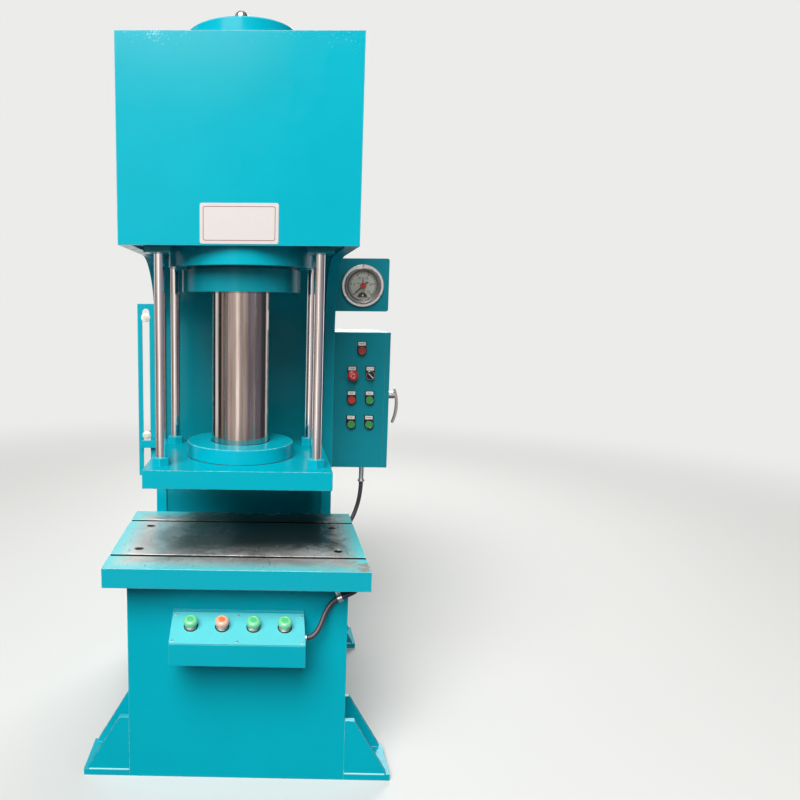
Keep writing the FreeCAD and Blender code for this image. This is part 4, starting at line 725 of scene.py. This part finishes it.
def screw_head(shape, spot, radius, proud, bevel, edge, depth):
    """A round head with a bevel and a recess."""
    angles = all_round(48)
    rows = [ring(radius, 0, angles), ring(radius, proud - bevel, angles),
            ring(radius - bevel, proud, angles)]
    for height in (proud, proud - depth):
        rows.append([(edge(a) * math.cos(a), edge(a) * math.sin(a), height) for a in angles])
    skin(shape, spot, rows)


def on_circle(radius, z, out):
    """Six spots on a bolt circle about the ram's axis that look up or down."""
    return [spot_at(point, out, BACK) for point in ring(radius, z, all_round(6))]


HEAD_R, SOCKET_AF, HEAD_SUNK = 11.6, 14.0, 1.0
CAP_CIRCLE_R, GLAND_CIRCLE_R, SLIDE_CIRCLE_R = 130.0, 150.0, 120.0
TABLE_SCREW_X, TABLE_SCREW_Y = 298.0, 110.0
DOWN, UP, BACK = (0, 0, -1), (0, 0, 1), (0, 1, 0)
cap_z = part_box("cylinder_cap")[1].z / MM - HEAD_SUNK
gland_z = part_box("gland_ring")[0].z / MM + HEAD_SUNK
slide_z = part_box("slide_plate")[0].z / MM + HEAD_SUNK
table_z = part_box("bolster_table")[1].z / MM - HEAD_SUNK
table_spots = [spot_at((x * TABLE_SCREW_X, y * TABLE_SCREW_Y, table_z), UP, BACK, 10 * x)
               for x in (-1, 1) for y in (-1, 1)]
SOCKETS = {
    "cap_sockets": (on_circle(CAP_CIRCLE_R, cap_z, UP), "frame"),
    "gland_sockets": (on_circle(GLAND_CIRCLE_R, gland_z, DOWN), "frame"),
    "slide_sockets": (on_circle(SLIDE_CIRCLE_R, slide_z, DOWN), "slide"),
    "table_sockets": (table_spots, "frame"),
}
for name, (spots, body) in SOCKETS.items():
    heads = bmesh.new()
    for spot in spots:
        screw_head(heads, spot, HEAD_R, 0.8, 0.5, six_sided(SOCKET_AF), 0.75)
    piece(name, heads, "black_oxide_on_steel", body, "screw_steel")
print(sum(len(spots) for spots, body in SOCKETS.values()), "sockets,", SOCKET_AF, "mm across flats")

# %% [markdown]
# ## The conduit
# A sheathed spiral conduit carries the wires from the side box, under the table's edge and across
# the front of the base to the console. Its route is one smooth curve through the solid's points.
# The steel spiral inside shows through the sheath as shallow ribs. A bump map would leave the
# outline smooth, so a ring of points travels along the curve, a little wider on every rib.

# %% Route of the conduit
ROUTE_MM = [(440, 450, 764), (439, 450, 714), (421, 449, 643), (394, 418, 605), (364, 350, 586),
            (346.5, 260, 581), (344.5, 60, 584), (351.5, -173, 596), (329.5, -195.2, 593),
            (264.5, -195.2, 565), (228.5, -237, 476), (200.5, -237, 476)]
line = bpy.data.curves.new("conduit_route", "CURVE")
line.dimensions = "3D"
spline = line.splines.new("NURBS")
spline.points.add(len(ROUTE_MM) - 1)
for knot, at in zip(spline.points, ROUTE_MM):
    knot.co = (*(Vector(at) * MM), 1.0)
spline.order_u = 3
spline.use_endpoint_u = True
spline.resolution_u = 24
carrier = bpy.data.objects.new("conduit_route", line)
traced = bpy.data.meshes.new_from_object(carrier)
path = [v.co / MM for v in traced.vertices]
bpy.data.objects.remove(carrier)
reach = [0.0]
for a, b in zip(path, path[1:]):
    reach.append(reach[-1] + (b - a).length)
print("conduit", round(reach[-1]), "mm long,", len(path), "points on its line")


# %% Ribs of the conduit
def along_path(distance):
    """The point at a distance along the route and the way it runs there."""
    last = len(path) - 1
    k = max(1, next((n for n, d in enumerate(reach) if d >= distance), last))
    share = (distance - reach[k - 1]) / (reach[k] - reach[k - 1])
    way = path[min(k + 1, last)] - path[max(k - 2, 0)]
    return path[k - 1].lerp(path[k], share), way.normalized()


RIB_MM, SIDES = 4.2, 20
RIB = ((0.0, 7.35), (0.3, 7.7), (0.5, 7.8), (0.7, 7.7))  # share of the pitch, radius
count = int(reach[-1] / RIB_MM)
pitch = reach[-1] / count
across = Vector((1, 0, 0))
rings = []
for step in range(count):
    for share, radius in RIB:
        at, way = along_path((step + share) * pitch)
        across = (across - way * across.dot(way)).normalized()
        other = way.cross(across)
        rings.append([at + (across * math.cos(a) + other * math.sin(a)) * radius
                      for a in all_round(SIDES)])
hose = bmesh.new()
skin(hose, Matrix.Identity(4), rings)
conduit = piece("conduit_ribs", hose, "grey_pvc_sheath", "frame", "grey_plastic", "conduit")
print(count, "ribs,", len(conduit.data.polygons), "faces")

# %% [markdown]
# ## The pressure gauge
# The dial is printed metal: a scale over three quarters of a turn with a figure at every fifth
# mark. In front of it sit a red knob that sets a thinner needle, and a short hook that the pointer
# pushes up to the highest pressure. A half round black block at its foot holds the stop. Real
# marks stay sharp at any distance.

# %% Gauge dial
GAUGE = middle("gauge_ring")
DIAL_Y = front("gauge_dial")
FULL, SWEEP = 25, 270.0  # the scale's last figure and its degrees
MARKS_R, FIGURES_R, FIGURE_MM = 46.0, 30.0, 12.0
LONG, MEDIUM, SHORT = (38.0, 3.0), (41.5, 1.5), (43.0, 0.8)  # inner end and width of a mark
dial_spot = spot_at((GAUGE.x, DIAL_Y, GAUGE.z))
scale = bmesh.new()
for mark in range(2 * FULL + 1):
    inner, width = LONG if mark % 10 == 0 else MEDIUM if mark % 2 == 0 else SHORT
    turn = -SWEEP / 2 + SWEEP * mark / (2 * FULL)
    half = width / 2
    line = [(-half, inner), (half, inner), (half, MARKS_R), (-half, MARKS_R)]
    plate(scale, spun(dial_spot, -turn), line, 0.1)
    if mark % 10 == 0:
        away = math.radians(turn)
        words(scale, dial_spot, str(mark // 2), FIGURE_MM,
              (FIGURES_R * math.sin(away), FIGURES_R * math.cos(away)))
turned(scale, dial_spot, [(45.8, 0), (46.8, 0), (46.8, 0.1), (45.8, 0.1)], 60, -45, 270)
words(scale, dial_spot, "MPa", 7.0, (-15, 8))
piece("dial_scale", scale, "black_screen_ink", "frame", "black_face")
funnel = bmesh.new()
turned(funnel, dial_spot, [(48.5, 0.1), (57.0, 4.8), (57.6, 4.8), (57.6, 0.1), (48.5, 0.1)], 64)
piece("gauge_funnel", funnel, "tarnished_brass_funnel", "frame", "nickel")
print("scale 0 to", FULL, "over", SWEEP, "degrees")

# %% Needles, knob and stop of the gauge
GLASS_Y = front("gauge_glass")
KNOB = [(9.6, 0), (10.2, 1.2), (10.2, 5.0), (9.0, 6.6), (4.2, 6.9), (3.6, 6.1), (0, 6.1)]
SET_NEEDLE = [(-2.6, 0), (2.6, 0), (0.9, 31), (-0.9, 31)]
HOOK = [(-2.2, 0), (2.2, 0), (2.0, 17), (6.0, 19), (5.0, 22), (-1.6, 20)]
BLADE = [(-3.2, -11), (3.2, -11), (2.2, 0), (1.5, 36), (-1.5, 36), (-2.2, 0)]
HOOK_TURN, POINTER_TURN = -48, 135.0  # degrees from straight up, to the left
STOP_R, STOP_BELOW = 16.5, 40
knob = bmesh.new()
turned(knob, spot_at((GAUGE.x, GLASS_Y, GAUGE.z)), KNOB, 36)
piece("set_pointer_knob", knob, "red_acrylic_button", "frame", "red")
needles = bmesh.new()
behind_spot = spot_at((GAUGE.x, GLASS_Y + 3.4, GAUGE.z))
plate(needles, behind_spot, SET_NEEDLE, 0.5)
plate(needles, spun(behind_spot, HOOK_TURN), HOOK, 0.5, lift=0.1)
half_round = [(STOP_R * math.cos(a), STOP_R * math.sin(a) + 1)
              for a in (math.radians(k) for k in range(0, 181, 10))]
plate(needles, spot_at((GAUGE.x, DIAL_Y, GAUGE.z - STOP_BELOW)), half_round, 3.2, 0.8)
piece("set_pointer_and_stop", needles, "black_screen_ink", "frame", "black_face")
blade = bmesh.new()
blade_spot = spot_at((GAUGE.x, front("gauge_pointer"), GAUGE.z))
plate(blade, spun(blade_spot, POINTER_TURN), BLADE, 0.3)
piece("pointer_blade", blade, "black_screen_ink", "gauge_pointer", "black_face")
screws = bmesh.new()
pan = slotted(5.2, 1.0)
stop_screw = spot_at((GAUGE.x + 1, DIAL_Y - 3.2, GAUGE.z - 33), turn=30)
screw_head(screws, stop_screw, 3.8, 1.4, 0.5, pan, 0.9)
RING_SCREW_R, LIP_Y = 69.5, front("gauge_ring") + 6
for angle in (90, 214, 330):
    a = math.radians(angle)
    at = (GAUGE.x + RING_SCREW_R * math.cos(a), LIP_Y, GAUGE.z + RING_SCREW_R * math.sin(a))
    screw_head(screws, spot_at(at, turn=angle * 1.7), 3.1, 1.6, 0.5, pan, 0.9)
piece("gauge_screws", screws, "nickel_plated_brass", "frame", "nickel")
print("red knob", 2 * KNOB[1][0], "mm wide")

# %% [markdown]
# ## The operators of the side box
# Each operator is held by a black plate that carries a white insert with one generic word. The
# buttons are clear-bodied caps with a rim that catches the light, the emergency button shows which
# way it's twisted to free it, and the selector has a white line. Every mark on a button rides on
# that button.

# %% Inserts and their words
HOLDER_Y = front("control_box") - 2.0
INSERT_UP = 24.0
LABELS = {"pilot_lamp": "POWER", "estop_button": "STOP", "selector_knob": "MAN AUTO",
          "stop_button": "OFF", "start_button": "ON", "up_button": "UP", "down_button": "DOWN"}
inserts = bmesh.new()
letters = bmesh.new()
for name, word in LABELS.items():
    spot = before(name, HOLDER_Y, INSERT_UP)
    plate(inserts, spot, rounded(27, 13, 1.2), 0.5, 0.2)
    words(letters, spot, word, 4.4 if " " in word else 6.0, lift=0.55)
piece("legend_inserts", inserts, "white_painted_aluminium_dial", "frame", "white_face")
piece("legend_words", letters, "black_screen_ink", "frame", "black_face")
print(", ".join(LABELS.values()))

# %% Marks on the operators
CAP_Y = front("stop_button")
RIM = [(11.2, 0), (13.0, 0), (12.7, 0.5), (11.6, 0.5), (11.2, 0)]
COLLAR = [(14.2, 0), (16.2, 0), (15.6, 0.9), (14.6, 0.9), (14.2, 0)]
RIMS = {"stop_button": "red", "start_button": "green", "up_button": "green", "down_button": "green",
        "pilot_lamp": "red"}
for name, tint in RIMS.items():
    rim = bmesh.new()
    turned(rim, before(name, CAP_Y), RIM)
    body = "frame" if name == "pilot_lamp" else name
    piece(name + "_rim", rim, "pale_%s_acrylic_rim" % tint, body, tint)
lens_rings = bmesh.new()
for radius in (2.5, 5.0, 7.5):
    ridge = [(radius - 0.5, 0), (radius + 0.5, 0), (radius, 0.5), (radius - 0.5, 0)]
    turned(lens_rings, before("pilot_lamp", CAP_Y + 1.0), ridge, 30)
piece("pilot_lamp_lens", lens_rings, "pale_red_acrylic_rim", "frame", "red")
ARROW = [(6.4, 0), (8.4, 0), (8.4, 0.25), (6.4, 0.25), (6.4, 0)]
ARROW_SPAN = 62
arrows = bmesh.new()
face = before("estop_button", front("estop_button") + 0.8)
for first in (20, 140, 260):
    turned(arrows, face, ARROW, 14, first, ARROW_SPAN)
    plate(arrows, spun(face, first + ARROW_SPAN), [(5.2, 0), (9.6, 0), (7.4, 3.6)], 0.25)
piece("estop_arrows", arrows, "white_painted_aluminium_dial", "estop_button", "white_face")
mark = bmesh.new()
plate(mark, before("selector_knob", front("selector_knob"), turn=45), rounded(2.6, 25, 1.2), 0.2)
piece("selector_line", mark, "white_painted_aluminium_dial", "selector_knob", "white_face")
collar = bmesh.new()
turned(collar, before("selector_knob", front("operator_bezels")), COLLAR)
piece("selector_ring", collar, "nickel_plated_brass", "frame", "nickel")
print(len(RIMS), "rims, three arrows, a line and a ring")

# %% [markdown]
# ## The two-hand console
# Four mushroom buttons with an inlaid disc stand on the sloping lid, each in a plated collar on a
# black rubber washer. Six small screws hold the lid.

# %% Console
LID_START = Vector((4.5, -185.0, 534.0))
LID_ALONG = Vector((0, -0.917, -0.3987))
LID_OUT = Vector((0, -0.3987, 0.917))
LID_SCREWS_X, LID_SCREWS_DOWN = 181.0, (23.0, 116.4)
PALM_X = (-129.0, -40.0, 49.0, 138.0)
PALM_Y, PALM_Z, PALM_TOP = -243.7, 508.5, 30.2
WASHER = [(18.2, 0), (20.4, 0), (20.0, 1.6), (18.2, 1.6), (18.2, 0)]
DISC = [(9.4, 0), (9.4, 0.35), (8.9, 0.5), (0, 0.5)]
washers = bmesh.new()
for number, x in enumerate(PALM_X, 1):
    foot = Vector((x, PALM_Y, PALM_Z))
    turned(washers, spot_at(foot, LID_OUT, -LID_ALONG), WASHER)
    disc = bmesh.new()
    turned(disc, spot_at(foot + LID_OUT * PALM_TOP, LID_OUT, -LID_ALONG), DISC)
    finish, slot = ("orange", "red") if number == 2 else ("dark_green", "green")
    piece("palm_disc_%d" % number, disc, finish + "_inlaid_disc", "palm_button_%d" % number, slot)
piece("button_washers", washers, "black_rubber_wiper", "frame", "black_plastic")
lid_screws = bmesh.new()
for down in LID_SCREWS_DOWN:
    for step in (-1, 0, 1):
        at = LID_START + LID_ALONG * down + Vector((LID_SCREWS_X * step, 0, 0))
        spot = spot_at(at, LID_OUT, -LID_ALONG, 37.0 * step + down)
        screw_head(lid_screws, spot, 3.6, 1.8, 0.6, slotted(5.8, 1.0), 1.0)
piece("lid_screws", lid_screws, "bright_zinc_plate", "frame", "steel")
print(len(PALM_X), "discs and washers,", 3 * len(LID_SCREWS_DOWN), "screws")

# %% [markdown]
# ## Joints that show as dark lines
# Where the ram enters its flange and where the flange sits on the slide, two narrow dark teal
# rings are laid as painted shade in those joints.

# %% Dark joints of the slide
RAM_R, FLANGE_R = 87.6, 162.6
flange_low, flange_high = box_mm("ram_flange")
joints = bmesh.new()
turned(joints, spot_at((0, 0, flange_high.z), UP, BACK),
       [(RAM_R, 0), (RAM_R + 3.3, 0), (RAM_R + 2.5, 0.7), (RAM_R, 0.9), (RAM_R, 0)], 72)
turned(joints, spot_at((0, 0, flange_low.z), UP, BACK),
       [(FLANGE_R, 0), (FLANGE_R + 1.7, 0), (FLANGE_R, 1.6), (FLANGE_R, 0)], 90)
piece("slide_joints", joints, "oil_dark_sealing_compound", "slide", "black_plastic")
print("joints at", round(flange_low.z), "and", round(flange_high.z), "mm")

# %% [markdown]
# ## Small things on the frame
# The white plate on the head has a thin rounded border, the proximity switches have pale caps, and
# two screws hold the conduit's clip.

# %% Border, caps and clip screws
LINE_OUT, LINE_IN, LINE_T = (17, 5.5), (20, 4.5), 0.12  # inset and corner; thickness
SENSOR_CAP = [(7.9, 0), (7.9, 0.8), (7.3, 1.3), (0, 1.3)]
low, high = box_mm("label_plate")
width, height = high.x - low.x, high.z - low.z
border = bmesh.new()
outer, inner = (rounded(width - inset, height - inset, corner)
                for inset, corner in (LINE_OUT, LINE_IN))
rows = [[(x, y, lift) for x, y in edge]
        for edge, lift in ((outer, 0), (outer, LINE_T), (inner, LINE_T), (inner, 0), (outer, 0))]
skin(border, spot_at(((low.x + high.x) / 2, low.y, (low.z + high.z) / 2)), rows)
piece("label_border", border, "dull_red_ink", "frame", "red")
caps = bmesh.new()
low, high = box_mm("proximity_sensors")
for z in (low.z + 16, high.z - 16):
    turned(caps, spot_at(((low.x + high.x) / 2, low.y, z)), SENSOR_CAP, 32)
piece("sensor_caps", caps, "cream_polyamide_sensor_cap", "frame", "white_face")
CLIP_A, CLIP_B = Vector((329.5, -187.0, 593.0)), Vector((264.5, -187.0, 565.0))
CLIP_EAR = 13.7
clip_side = (CLIP_B - CLIP_A).normalized().cross(Vector(BACK))
clip_screws = bmesh.new()
for side in (-1, 1):
    at = (CLIP_A + CLIP_B) / 2 + clip_side * CLIP_EAR * side - Vector((0, 1.5, 0))
    screw_head(clip_screws, spot_at(at, turn=50 * side), 3.0, 1.5, 0.5, slotted(4.6, 0.9), 0.9)
piece("clip_screws", clip_screws, "bright_zinc_plate", "frame", "steel")
print("border", round(width - LINE_OUT[0]), "x", round(height - LINE_OUT[0]), "mm")

# %% [markdown]
# ## Weld beads of the feet
# Each gusset is welded to its foot, and the bead is coloured pale cyan as a painted highlight, so
# it shows as a pale line. A weld is a row of overlapping ripples: a half round that swells and
# narrows a little every few millimetres.

# %% Beads
FOOT_LONG, FOOT_T = 150.0, 20.0
BEAD_W, BEAD_OUT, RIPPLE, SWELL = 7.0, 1.8, 6.0, 0.18
HALF_ROUND = [math.pi * k / 6 for k in range(7)]
low, high = box_mm("feet")
plate_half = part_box("side_plate_right")[1].x / MM
beads = bmesh.new()
for y, way in ((low.y, -1), (low.y + FOOT_LONG, 1), (high.y - FOOT_LONG, -1), (high.y, 1)):
    for side in (-1, 1):
        run = -side * way
        rows = []
        for step in range(int((high.x - plate_half - 14) / RIPPLE * 3)):
            size = 1.0 - SWELL * (step % 3)
            rows.append([(run * (1 + step * RIPPLE / 3), size * BEAD_W / 2 * math.cos(a),
                          size * BEAD_OUT * math.sin(a)) for a in HALF_ROUND])
        skin(beads, spot_at((side * plate_half, y, FOOT_T), (0, way, 0)), rows)
piece("foot_welds", beads, "pale_enamel_as_painted_highlight_on_weld_beads", "frame", "paint")
print("eight beads,", BEAD_W, "mm wide")

# %% [markdown]
# ## The end
# The looks must not outgrow the solids.

# %% Finish
print("size written")
